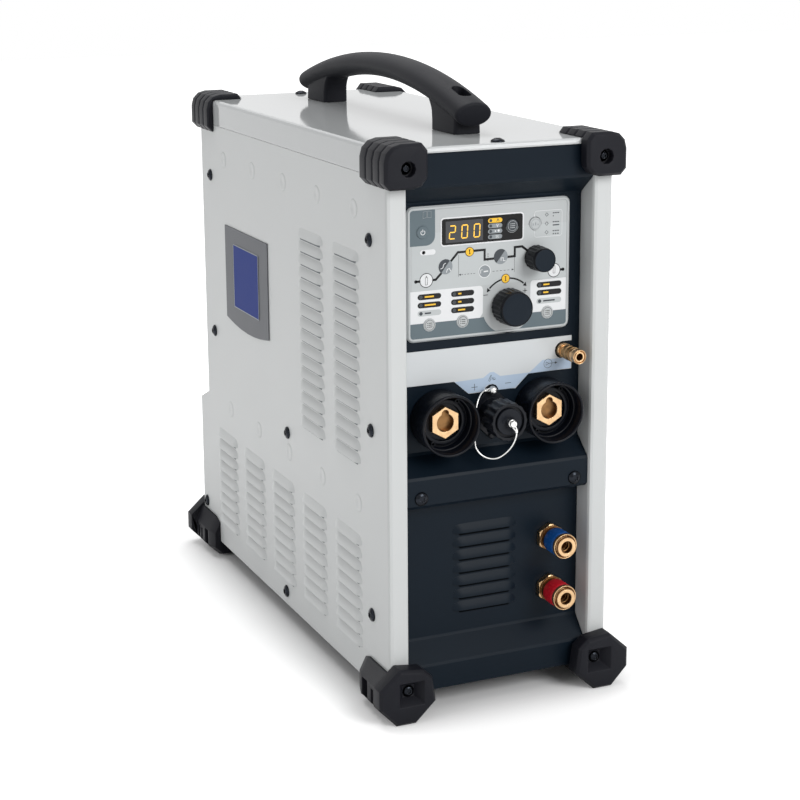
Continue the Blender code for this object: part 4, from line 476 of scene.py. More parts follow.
class Effects:
    """The shader groups that several finishes share, each built once."""

    def __init__(self) -> None:
        """Builds every group."""
        self.grain = self._grain()
        self.wear = self._wear()
        self.tool_marks = self._tool_marks()

    @staticmethod
    def _group(name: str, inputs: dict[str, tuple[str, object]], outputs: dict[str, str]) -> Tree:
        """Starts a shader group with its named inputs and outputs.

        Args:
            name: The group's name.
            inputs: Socket type and default by name.
            outputs: Socket type by name.

        Returns:
            The tree.
        """
        group = bpy.data.node_groups.new(name, "ShaderNodeTree")
        interfaced(group, inputs, outputs)
        return Tree(group)

    def _grain(self) -> NodeTree:
        """Builds the moulded or sprayed grain: slight mottling of colour and gloss, and a fine height.

        Returns:
            The group.
        """
        inputs = {
            "Colour": ("NodeSocketColor", (0.5, 0.5, 0.5, 1)), "Mottle": ("NodeSocketFloat", 0.05),
            "Roughness": ("NodeSocketFloat", 0.5), "Gloss Change": ("NodeSocketFloat", 0.1),
            "Grain Scale": ("NodeSocketFloat", 2500.0), "Broad Scale": ("NodeSocketFloat", 25.0)
        }
        t = self._group("surface_grain", inputs, SKIN_OUTPUTS)
        given = t.node("NodeGroupInput").outputs
        where = t.node("ShaderNodeTexCoord").outputs["Object"]
        broad = t.noise(where, given["Broad Scale"], 3.0)
        fine = t.noise(where, given["Grain Scale"], 2.0)
        swing = t.maths("SUBTRACT", broad, 0.5)
        lift = t.maths("MULTIPLY_ADD", swing, given["Mottle"], 1.0)
        fleck = t.maths("MULTIPLY_ADD", t.maths("SUBTRACT", fine, 0.5), given["Mottle"], lift)
        tinted = t.node("ShaderNodeVectorMath", {"operation": "SCALE"}, i0=given["Colour"], Scale=fleck)
        gloss = t.maths("MULTIPLY_ADD", swing, given["Gloss Change"], given["Roughness"], clamp=True)
        t.node("NodeGroupOutput", Colour=tinted.outputs[0], Roughness=gloss, Height=fine)
        return t.tree

    def _wear(self) -> NodeTree:
        """Builds the edge mask: where a corner is, and the normal that rounds it off; the mask lays a paler
        colour along edges, partly as rubbed wear and partly as a painted highlight where edges catch light.

        Returns:
            The group.
        """
        inputs = {"Radius": ("NodeSocketFloat", 0.0005), "Strength": ("NodeSocketFloat", 1.0)}
        t = self._group("edge_wear", inputs, {"Edge": "NodeSocketFloat", "Normal": "NodeSocketVector"})
        given = t.node("NodeGroupInput").outputs
        soft = t.node("ShaderNodeBevel", {"samples": 4}, Radius=given["Radius"]).outputs["Normal"]
        hard = t.node("ShaderNodeNewGeometry").outputs["Normal"]
        facing = t.node(
            "ShaderNodeVectorMath", {"operation": "DOT_PRODUCT"}, i0=soft, i1=hard
        ).outputs["Value"]
        # The edge mask marks where the rounded normal leans from the true one; it paints those edges paler,
        # as wear and as a highlight.
        apart = t.maths("MULTIPLY", t.maths("SUBTRACT", 1.0, facing), given["Strength"])
        rub = t.noise(t.node("ShaderNodeTexCoord").outputs["Object"], 900.0, 3.0)
        edge = t.maths("MULTIPLY", apart, t.maths("ADD", rub, 0.5), clamp=True)
        t.node("NodeGroupOutput", Edge=edge, Normal=soft)
        return t.tree

    def _tool_marks(self) -> NodeTree:
        """Builds the fine rings that a lathe leaves, with handling marks over them.

        Returns:
            The group.
        """
        inputs = {
            "Colour": ("NodeSocketColor", (0.8, 0.6, 0.3, 1)),
            "Tarnish": ("NodeSocketColor", (0.4, 0.25, 0.1, 1)), "Tarnish Share": ("NodeSocketFloat", 0.3),
            "Roughness": ("NodeSocketFloat", 0.25), "Stretch": ("NodeSocketVector", (0.1, 1.0, 0.1))
        }
        t = self._group("tool_marks", inputs, SKIN_OUTPUTS)
        given = t.node("NodeGroupInput").outputs
        where = t.node("ShaderNodeTexCoord").outputs["Object"]
        along = t.node(
            "ShaderNodeVectorMath", {"operation": "MULTIPLY"}, i0=where, i1=given["Stretch"]
        ).outputs[0]
        rings = t.noise(along, 4000.0, 2.0)
        smudge = t.noise(where, 220.0, 4.0)
        ramp = t.maths("MULTIPLY", t.maths("SUBTRACT", smudge, 0.42, clamp=True), 3.0, clamp=True)
        share = t.maths("MULTIPLY", ramp, given["Tarnish Share"])
        colour = t.mixed(share, given["Colour"], given["Tarnish"])
        gloss = t.maths("MULTIPLY_ADD", ramp, 0.12, given["Roughness"])
        streak = t.maths("MULTIPLY_ADD", t.maths("SUBTRACT", rings, 0.5), 0.1, gloss, clamp=True)
        t.node("NodeGroupOutput", Colour=colour, Roughness=streak, Height=rings)
        return t.tree


def opened(name: str) -> tuple[Material, Tree, Node]:
    """Starts a material and gives it with its tree and its Principled shader.

    Args:
        name: The material's name.

    Returns:
        The material, its tree and its shader.
    """
    material = bpy.data.materials.new(name)
    material.use_nodes = True
    shader = material.node_tree.nodes["Principled BSDF"]
    return material, Tree(material.node_tree), shader


def grained(t: Tree, effects: Effects, colour: Colour, *levels: float) -> Sockets:
    """Adds the shared grain: mottle, roughness, gloss change, grain scale and broad scale, in order."""
    names = ("Mottle", "Roughness", "Gloss_Change", "Grain_Scale", "Broad_Scale")
    return t.group(effects.grain, Colour=(*colour, 1), **dict(zip(names, levels)))


def surfaced(
    t: Tree, shader: Node, skin: Sockets, worn: Sockets, depth: float, edge_colour: Colour | None
) -> None:
    """Joins a skin, with paler edges that are partly wear and partly a painted highlight, to a material's
    shader.

    Args:
        t: The material's tree.
        shader: Its Principled shader.
        skin: The outputs of the grain or the tool marks.
        worn: The outputs of the edge mask, which paints the edges paler as wear and as a highlight.
        depth: How deep the skin's height goes, in metres.
        edge_colour: The paler colour painted along an edge, as wear and as a highlight, if it has its own.
    """
    colour = skin["Colour"]
    if edge_colour:
        colour = t.mixed(worn["Edge"], colour, (*edge_colour, 1))
    bump = t.node(
        "ShaderNodeBump", Strength=1.0, Distance=depth, Height=skin["Height"], Normal=worn["Normal"]
    )
    t.fed(shader, Base_Color=colour, Roughness=skin["Roughness"], Normal=bump.outputs["Normal"])


@dataclass(frozen=True)
class CoatedFinish:
    """Paint, moulded plastic or rubber: a colour with grain, slightly paler at its edges, as wear and as a
    painted highlight where the edges catch light.
    """

    name: str
    colour: Colour
    roughness: float
    mottle: float = 0.05
    gloss_change: float = 0.08
    grain_scale: float = 2500.0
    grain_depth: float = 0.00002
    broad_scale: float = 25.0
    edge_colour: Colour | None = None
    edge_radius: float = 0.0004
    edge_strength: float = 2.5
    specular: float = 0.5

    def build(self, effects: Effects) -> Material:
        """Makes the material.

        Args:
            effects: The shared shader groups.

        Returns:
            The material.
        """
        material, t, shader = opened(self.name)
        levels = (self.mottle, self.roughness, self.gloss_change, self.grain_scale, self.broad_scale)
        grain = grained(t, effects, self.colour, *levels)
        # The edge mask paints the edges paler: rubbed wear and a painted highlight.
        worn = t.group(effects.wear, Radius=self.edge_radius, Strength=self.edge_strength)
        surfaced(t, shader, grain, worn, self.grain_depth, self.edge_colour)
        t.fed(shader, Specular_IOR_Level=self.specular)
        return material


@dataclass(frozen=True)
class MetalFinish:
    """Bare metal with tool marks and a little tarnish in its hollows."""

    name: str
    colour: Colour
    tarnish: Colour
    roughness: float
    tarnish_share: float = 0.3
    stretch: Space = (0.1, 1.0, 0.1)
    mark_depth: float = 0.000006
    edge_colour: Colour | None = None

    def build(self, effects: Effects) -> Material:
        """Makes the material.

        Args:
            effects: The shared shader groups.

        Returns:
            The material.
        """
        material, t, shader = opened(self.name)
        marks = t.group(
            effects.tool_marks, Colour=(*self.colour, 1), Tarnish=(*self.tarnish, 1),
            Tarnish_Share=self.tarnish_share, Roughness=self.roughness, Stretch=self.stretch
        )
        # The edge mask paints the edges paler: rubbed wear and a painted highlight and glint.
        worn = t.group(effects.wear, Radius=0.00025, Strength=3.0)
        surfaced(t, shader, marks, worn, self.mark_depth, self.edge_colour)
        t.fed(shader, Metallic=1.0)
        return material


@dataclass(frozen=True)
class InkFinish:
    """Screen-printed ink: even, faintly textured, slightly glossy."""

    name: str
    colour: Colour
    roughness: float = 0.42
    mottle: float = 0.04
    specular: float = 0.5

    def build(self, effects: Effects) -> Material:
        """Makes the material.

        Args:
            effects: The shared shader groups.

        Returns:
            The material.
        """
        material, t, shader = opened(self.name)
        grain = grained(t, effects, self.colour, self.mottle, self.roughness, 0.05, 5000.0, 60.0)
        bump = t.node("ShaderNodeBump", Strength=1.0, Distance=0.000004, Height=grain["Height"])
        t.fed(
            shader, Base_Color=grain["Colour"], Roughness=grain["Roughness"], Normal=bump.outputs["Normal"]
        )
        t.fed(shader, Specular_IOR_Level=self.specular)
        return material


@dataclass(frozen=True)
class LitFinish:
    """A lamp segment: its own light, mottled by the diffuser's grain."""

    name: str
    colour: Colour
    strength: float

    def build(self, effects: Effects) -> Material:
        """Makes the material.

        Args:
            effects: The shared shader groups.

        Returns:
            The material.
        """
        material, t, shader = opened(self.name)
        grain = grained(t, effects, self.colour, 0.35, 0.4, 0.05, 3000.0, 600.0)
        t.fed(shader, Base_Color=grain["Colour"], Roughness=grain["Roughness"])
        t.fed(shader, Emission_Color=grain["Colour"], Emission_Strength=self.strength)
        return material


def all_finishes() -> list:
    """Lists every finish of the machine."""
    # Each edge_colour is painted along edges by the edge mask: partly rubbed wear, partly a painted
    # highlight and glint where edges catch light; pale is the lid's.
    pale = (0.83, 0.84, 0.84)
    return [
        CoatedFinish(
            "light_paint", (0.56, 0.575, 0.575), 0.42, mottle=0.02, gloss_change=0.06, grain_scale=1300.0,
            grain_depth=0.000022, edge_colour=(0.62, 0.635, 0.635)
        ),
        CoatedFinish(
            "lid_paint", (0.49, 0.505, 0.51), 0.07, specular=0.36, mottle=0.02, gloss_change=0.02,
            grain_scale=700.0, grain_depth=0.000003, edge_colour=pale, edge_radius=0.0006
        ),
        CoatedFinish(
            "dark_paint", (0.0035, 0.0080, 0.0140), 0.42, mottle=0.25, gloss_change=0.1, grain_scale=1800.0,
            grain_depth=0.00004, edge_colour=(0.012, 0.018, 0.027), specular=0.1
        ),
        CoatedFinish(
            "rubber", (0.0085, 0.009, 0.0125), 0.46, specular=0.13, mottle=0.3, gloss_change=0.15,
            grain_scale=2600.0, grain_depth=0.00005, edge_colour=(0.022, 0.022, 0.028), edge_radius=0.0009
        ),
        CoatedFinish(
            "handle_plastic", (0.0095, 0.010, 0.0135), 0.5, specular=0.12, mottle=0.25, gloss_change=0.12,
            grain_scale=2600.0, grain_depth=0.00004, edge_colour=(0.022, 0.022, 0.028), edge_radius=0.0009
        ),
        CoatedFinish("grey_plastic", (0.50, 0.515, 0.52), 0.4, mottle=0.03, grain_depth=0.000012),
        CoatedFinish(
            "black_plastic", (0.0035, 0.0045, 0.0075), 0.36, mottle=0.2, grain_scale=3000.0,
            grain_depth=0.00002, edge_colour=(0.016, 0.02, 0.028), specular=0.18, edge_radius=0.0005
        ),
        CoatedFinish(
            "hood_plastic", (0.0025, 0.0035, 0.0065), 0.32, mottle=0.15, grain_depth=0.000006, specular=0.14
        ),
        CoatedFinish(
            "cap_disc", (0.0045, 0.006, 0.010), 0.42, mottle=0.15, grain_depth=0.00001, specular=0.16
        ),
        CoatedFinish(
            "knob_plastic", (0.0035, 0.0045, 0.0070), 0.26, mottle=0.15, grain_depth=0.000008, specular=0.12
        ),
        CoatedFinish(
            "knob_face", (0.009, 0.014, 0.021), 0.34, mottle=0.08, grain_depth=0.000006, specular=0.09
        ),
        CoatedFinish(
            "window", (0.0035, 0.0035, 0.004), 0.1, mottle=0.1, grain_depth=0.000001, specular=0.16
        ),
        MetalFinish("brass", (0.55, 0.365, 0.20), (0.26, 0.155, 0.07), 0.27, edge_colour=(0.80, 0.58, 0.36)),
        # dark_brass is painted down the bores of the brass fittings as their shade.
        MetalFinish("dark_brass", (0.19, 0.10, 0.04), (0.08, 0.045, 0.02), 0.34, tarnish_share=0.6),
        MetalFinish(
            "worn_brass", (0.36, 0.22, 0.10), (0.09, 0.055, 0.03), 0.3, tarnish_share=0.5,
            edge_colour=(0.62, 0.43, 0.24)
        ),
        MetalFinish(
            "screw_steel", (0.016, 0.018, 0.022), (0.006, 0.006, 0.007), 0.2, edge_colour=(0.10, 0.105, 0.12)
        ),
        MetalFinish("steel", (0.68, 0.68, 0.67), (0.32, 0.31, 0.30), 0.28),
        CoatedFinish(
            "blue_ring", (0.006, 0.075, 0.30), 0.34, mottle=0.08, edge_colour=(0.05, 0.16, 0.5),
            specular=0.25
        ),
        CoatedFinish(
            "red_ring", (0.56, 0.010, 0.022), 0.34, mottle=0.08, edge_colour=(0.72, 0.06, 0.08),
            specular=0.25
        ),
        CoatedFinish(
            "badge", (0.098, 0.104, 0.116), 0.4, mottle=0.08, edge_colour=(0.3, 0.31, 0.33), specular=0.12
        ),
        CoatedFinish("circuit", (0.015, 0.12, 0.045), 0.42, mottle=0.3, broad_scale=120.0),
        MetalFinish("aluminium", (0.60, 0.61, 0.62), (0.35, 0.35, 0.36), 0.38, stretch=(1.0, 0.1, 1.0)),
        MetalFinish("copper", (0.62, 0.27, 0.12), (0.25, 0.10, 0.05), 0.4),
        CoatedFinish("tank", (0.66, 0.68, 0.66), 0.45, mottle=0.06, specular=0.6),
        CoatedFinish(
            "bezel_grey", (0.46, 0.48, 0.485), 0.36, mottle=0.02, grain_depth=0.000008, specular=0.35
        ),
        CoatedFinish(
            "strip_white", (0.60, 0.625, 0.64), 0.3, mottle=0.015, grain_depth=0.000004, specular=0.3
        ),
        InkFinish("print_white", (0.74, 0.75, 0.76), specular=0.3),
        InkFinish("print_grey", (0.26, 0.285, 0.30), specular=0.25),
        InkFinish("print_pale_grey", (0.49, 0.515, 0.52), specular=0.3),
        InkFinish("print_slate", (0.115, 0.15, 0.168), specular=0.25),
        InkFinish("print_dark_grey", (0.055, 0.062, 0.07), specular=0.2),
        InkFinish("print_black", (0.008, 0.008, 0.009), specular=0.2),
        InkFinish("print_blue", (0.012, 0.032, 0.20), 0.5, specular=0.06),
        # slit_shadow and dark_slit_shadow paint the shade under the louvre lips.
        InkFinish("slit_shadow", (0.20, 0.215, 0.228), 0.7, specular=0.1),
        InkFinish("dark_slit_shadow", (0.0012, 0.002, 0.003), 0.7, specular=0.03),
        InkFinish("print_pale_blue", (0.42, 0.52, 0.65), specular=0.3),
        InkFinish("print_amber", (0.86, 0.50, 0.02)), LitFinish("lamp_amber", (0.90, 0.52, 0.05), 0.45),
        LitFinish("lamp_off", (0.022, 0.023, 0.027), 0.0)
    ]


# ---------------------------------------------------------------- repeating patterns
class Patterns:
    """The Geometry Nodes trees that set a small piece out many times."""

    def __init__(self) -> None:
        """Builds every tree."""
        self.field = self._field()
        self.scatter = self._scatter()
        self.ring = self._ring()

    @staticmethod
    def _started(name: str, inputs: dict[str, tuple[str, object]]) -> Tree:
        """Starts a geometry tree with a geometry input, a piece, the named inputs and a finish.

        Args:
            name: The tree's name.
            inputs: Socket type and default by name.

        Returns:
            The tree.
        """
        group = bpy.data.node_groups.new(name, "GeometryNodeTree")
        given = {"Geometry": ("NodeSocketGeometry", None), "Piece": ("NodeSocketObject", None), **inputs}
        interfaced(
            group, {**given, "Finish": ("NodeSocketMaterial", None)}, {"Geometry": "NodeSocketGeometry"}
        )
        return Tree(group)

    @staticmethod
    def _ended(t: Tree, given: Sockets, points: NodeSocket, turn: NodeSocket | None = None) -> NodeTree:
        """Ends a tree: its piece is set on the points, made real and given the finish.

        Args:
            t: The tree.
            given: The tree's inputs.
            points: The points' geometry.
            turn: Each point's angle about its own axis.

        Returns:
            The finished tree.
        """
        turned = {}
        if turn is not None:
            angle = t.node("ShaderNodeCombineXYZ", Z=turn).outputs[0]
            turned = {"Rotation": t.node("FunctionNodeEulerToRotation", Euler=angle).outputs[0]}
        template = t.node("GeometryNodeObjectInfo", Object=given["Piece"]).outputs["Geometry"]
        spread = t.node("GeometryNodeInstanceOnPoints", Points=points, Instance=template, **turned)
        real = t.node("GeometryNodeRealizeInstances", Geometry=spread.outputs[0])
        dressed = t.node("GeometryNodeSetMaterial", Geometry=real.outputs[0], Material=given["Finish"])
        t.node("NodeGroupOutput", Geometry=dressed.outputs[0])
        return t.tree

    def _field(self) -> NodeTree:
        """Builds rows and columns of a piece from one corner, as for a louvre field.

        Returns:
            The tree.
        """
        inputs = {
            "Columns": ("NodeSocketInt", 2), "Rows": ("NodeSocketInt", 9),
            "Column Pitch": ("NodeSocketFloat", 70.0), "Row Pitch": ("NodeSocketFloat", 10.0)
        }
        t = self._started("louvre_field", inputs)
        given = t.node("NodeGroupInput").outputs
        columns, rows = given["Columns"], given["Rows"]
        width = t.maths("MULTIPLY", t.maths("SUBTRACT", columns, 1.0), given["Column Pitch"])
        height = t.maths("MULTIPLY", t.maths("SUBTRACT", rows, 1.0), given["Row Pitch"])
        grid = t.node(
            "GeometryNodeMeshGrid", Size_X=width, Size_Y=height, Vertices_X=columns, Vertices_Y=rows
        )
        half, down = t.maths("MULTIPLY", width, 0.5), t.maths("MULTIPLY", height, -0.5)
        shift = t.node("ShaderNodeCombineXYZ", X=half, Y=down).outputs[0]
        cornered = t.node("GeometryNodeTransform", Geometry=grid.outputs["Mesh"], Translation=shift)
        return self._ended(t, given, cornered.outputs[0])

    def _scatter(self) -> NodeTree:
        """Builds a piece at every point of a mesh, turned about the face's normal by its own angle.

        Returns:
            The tree.
        """
        t = self._started("fastener_set", {"Seed": ("NodeSocketInt", 3)})
        given = t.node("NodeGroupInput").outputs
        kind = {"data_type": "FLOAT"}
        turn = t.node("FunctionNodeRandomValue", kind, i2=0.0, i3=2 * math.pi, Seed=given["Seed"])
        return self._ended(t, given, given["Geometry"], turn.outputs["Value"])

    def _ring(self) -> NodeTree:
        """Builds a piece many times round an axis, as for knurls, grips and rivets.

        Returns:
            The tree.
        """
        angles = {"Start": ("NodeSocketFloat", 0.0), "Step": ("NodeSocketFloat", 0.2618)}
        t = self._started("round_pattern", {"Count": ("NodeSocketInt", 24), **angles})
        given = t.node("NodeGroupInput").outputs
        line = t.node("GeometryNodeMeshLine", Offset=(0.0, 0.0, 0.0), Count=given["Count"])
        index = t.node("GeometryNodeInputIndex").outputs[0]
        return self._ended(
            t, given, line.outputs[0], t.maths("MULTIPLY_ADD", index, given["Step"], given["Start"])
        )


@dataclass
class Workshop:
    """What every sub-assembly is made with: the datum, the finishes and the patterns."""

    datum: Datum
    nodes: dict[str, Object]
    materials: dict[str, Material]
    patterns: Patterns

    @classmethod
    def opened(cls, nodes: dict[str, Object]) -> Workshop:
        """Builds the finishes and the pattern trees.

        Args:
            nodes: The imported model's nodes by name.

        Returns:
            The workshop.
        """
        datum = Datum.measured()
        effects = Effects()
        materials = {finish.name: finish.build(effects) for finish in all_finishes()}
        return cls(datum, nodes, materials, Patterns())

    def dress(self) -> None:
        """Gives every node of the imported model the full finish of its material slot."""
        for name, node in self.nodes.items():
            for held in node.material_slots:
                key = held.material.name.split(".")[0]
                held.material = self.materials.get(key, self.materials["dark_paint"])
                log.info("%s takes %s", name, key)

    def put(
        self, shape: Shape, name: str, finish: str, slot: str, body: str = "machine", sharp: float = 35.0
    ) -> Object:
        """Makes a piece of a shape, shaded smooth up to an angle in degrees."""
        return placed(shape.mesh(name, sharp), self.materials[finish], body)

    def repeated(
        self, tree: NodeTree, name: str, template: Mesh, at: Matrix, slot: str, finish: str,
        body: str = "machine", start: Iterable[Space] = (), **values: object
    ) -> None:
        """Makes a piece of many copies of a small one.

        Args:
            tree: The pattern's tree.
            name: The piece's name.
            template: The small piece's mesh, in millimetres.
            at: The matrix that carries the pattern into the frame.
            slot: The record's material slot; not used.
            finish: Its finish.
            body: The body that it moves with.
            start: The points that a scatter is made on.
            **values: The tree's other inputs by name, blanks written as underscores.
        """
        points = bpy.data.meshes.new("points")
        points.from_pydata(list(start), [], [])
        host, single = linked("host", points), linked("single", template)
        modifier = host.modifiers.new("pattern", "NODES")
        modifier.node_group = tree
        given = {key.replace("_", " "): value for key, value in values.items()}
        given.update({"Piece": single, "Finish": self.materials[finish]})
        for item in tree.interface.items_tree:
            if item.in_out == "INPUT" and item.name in given:
                modifier[item.identifier] = given[item.name]
        mesh = applied(host, name, single)
        mesh.transform(at)
        placed(mesh, None, body)

    def brass(self, mesh: Mesh, plane: Plane, centre: Flat, painted_dark: Callable[[float, float], bool]) -> Object:
        """Makes a piece of bright brass with darker brass painted into it, as the shade down its bore.

        Args:
            mesh: The mesh, in the frame's metres.
            plane: The face that the piece stands on.
            centre: Its axis.
            painted_dark: Tells from the height out of the face and the distance from the axis where it takes
                the darker brass.

        Returns:
            The piece.
        """
        for finish in ("brass", "dark_brass"):
            mesh.materials.append(self.materials[finish])
        middle = plane.at(*centre)
        for face in mesh.polygons:
            off = (face.center - middle) / MM
            away = off.dot(plane.out)
            face.material_index = int(painted_dark(away, (off - plane.out * away).length))
        return placed(mesh, None, "machine")

    def redress(self, finish: str, *names: str) -> None:
        """Gives the named nodes one finish throughout."""
        for name in names:
            for held in self.nodes[name].material_slots:
                held.material = self.materials[finish]


# ---------------------------------------------------------------- sub-assemblies
@dataclass
class CapLanyard:
    """The steel wire that keeps the dust cap: two swaged eyes and the slack loop between them."""

    shop: Workshop
    wire: float = 1.2
    ferrule: float = 2.3
    top_eye: Space = (0.0, 15.05, 222.7)
    top_eye_radius: float = 2.6
    rivet_eye: Space = (0.0, -17.3, 205.5)
    rivet_eye_radius: float = 2.4
    slack: tuple[Space, ...] = (
        (-5.4, 14.7, 223.3), (-7.6, 13.9, 223.0), (-10.5, 12.5, 221.5), (-14.2, 10.0, 217.5),
        (-16.6, 8.2, 211.5), (-17.7, 6.8, 204.5), (-18.7, 5.2, 197.0), (-20.1, 3.0, 190.8),
        (-20.1, 1.5, 185.5), (-18.2, -0.5, 181.4), (-14.9, -2.5, 178.4), (-10.5, -4.5, 177.0),
        (-6.0, -6.8, 177.6), (-2.2, -9.8, 180.9), (1.2, -12.8, 185.9), (3.0, -15.4, 191.5),
        (3.6, -17.0, 196.4), (3.5, -17.3, 199.4)
    )

    def build(self) -> None:
        """Makes the wire as a free cord with its eyes and ferrules on it."""
        path = smoothed([self.shop.datum.point(*p) for p in self.slack], 6)
        curve = bpy.data.curves.new("cap_lanyard_wire", "CURVE")
        curve.dimensions = "3D"
        curve.bevel_depth = self.wire / 2 * MM
        curve.bevel_resolution = 3
        curve.use_fill_caps = True
        spline = curve.splines.new("POLY")
        spline.points.add(len(path) - 1)
        for held, point in zip(spline.points, path):
            held.co = (*point, 1.0)
        curve.materials.append(self.shop.materials["steel"])
        wire = linked("cap_lanyard_wire", curve)
        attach(wire, "machine")
        eyes = [self._eye("cap_lanyard_top_eye", self.top_eye, self.top_eye_radius, path[0], path[1])]
        eyes.append(
            self._eye("cap_lanyard_rivet_eye", self.rivet_eye, self.rivet_eye_radius, path[-1], path[-2])
        )
        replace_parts(wire, "cap_lanyard")

    def _eye(self, name: str, centre: Space, radius: float, start: Vector, along: Vector) -> Object:
        """Makes an eye of wire round a screw or rivet, with the ferrule that closes it.

        Args:
            name: The piece's name.
            centre: The eye's middle on the drawing.
            radius: The wire's radius round it, in millimetres.
            start: Where the free wire begins, in metres.
            along: A point further down the free wire.

        Returns:
            The piece.
        """
        middle = self.shop.datum.point(*centre)
        run = (start - middle).normalized()
        out = Vector((0.0, -1.0, 0.0))
        run = (run - out * run.dot(out)).normalized()
        across = out.cross(run)
        shape = Shape()
        loop = [middle + (run * x + across * y) * MM for x, y in arc((0.0, 0.0), radius, 32, 328, 26)]
        neck = start + (start - along).normalized() * 0.1 * MM
        sides = [neck + across * 0.45 * MM * way for way in (1, -1)]
        shape.tube([sides[0], *loop, sides[1]], self.wire / 2 * MM, 8)
        axis = (along - start).normalized()
        ring = [start - axis * 1.9 * MM + axis * s * MM for s in (0.0, 0.25, 1.4, 2.8, 3.3, 3.6)]
        radii = (0.8, 1.0, 1.12, 1.12, 1.0, 0.75)
        normal = axis.orthogonal().normalized()
        side = axis.cross(normal)
        rows = []
        for point, reach in zip(ring, radii):
            rows.append(
                [point + (normal * x * 1.15 + side * y * 0.9) * reach * MM for x, y in circle(1.0, 16)]
            )
        shape.faces_from(rows)
        return self.shop.put(shape, name, "steel", "steel")


def smoothed(points: Sequence[Vector], steps: int) -> list[Vector]:
    """Gives a smooth line through points.

    Args:
        points: The points that the line goes through.
        steps: The number of parts between two of them.

    Returns:
        The line's points.
    """
    ends = [points[0] * 2 - points[1], *points, points[-1] * 2 - points[-2]]
    line = []
    for a, b, c, d in zip(ends, ends[1:], ends[2:], ends[3:]):
        for i in range(steps):
            t = i / steps
            line.append(
                0.5 * (
                    (2 * b)
                    + (c - a) * t + (2 * a - 5 * b + 4 * c - d) * t**2 + (3 * b - a - 3 * c + d) * t**3
                )
            )
    return [*line, points[-1]]


class Print:
    """One colour of ink on a face: flat shapes a few hundredths of a millimetre thick."""

    def __init__(self, plane: Plane, name: str, finish: str, layer: int) -> None:
        """Starts an empty print.

        Args:
            plane: The printed face.
            name: The piece's name.
            finish: The ink.
            layer: How many inks lie under it.
        """
        self.plane = plane
        self.name = name
        self.finish = finish
        self.height = 0.035 + 0.035 * layer
        self.shape = Shape()

    def area(self, *outlines: Sequence[Flat]) -> Print:
        """Prints filled outlines."""
        for outline in outlines:
            self.shape.prism(self.plane, outline, 0.0, self.height)
        return self

    def line(self, path: Sequence[Flat], width: float) -> Print:
        """Prints a line."""
        return self.area(stroke(path, width))

    def ring(self, centre: Flat, outer: float, inner: float, count: int = 40) -> Print:
        """Prints a ring."""
        self.shape.band(
            self.plane, circle(outer, count, centre), circle(inner, count, centre), 0.0, self.height
        )
        return self

    def frame(self, outer: Sequence[Flat], width: float) -> Print:
        """Prints a border inside an outline."""
        self.shape.band(self.plane, outer, shrunk(outer, width), 0.0, self.height)
        return self

    def done(self, shop: Workshop, body: str, slot: str) -> Object:
        """Makes the piece."""
        return shop.put(self.shape, self.name, self.finish, slot, body)


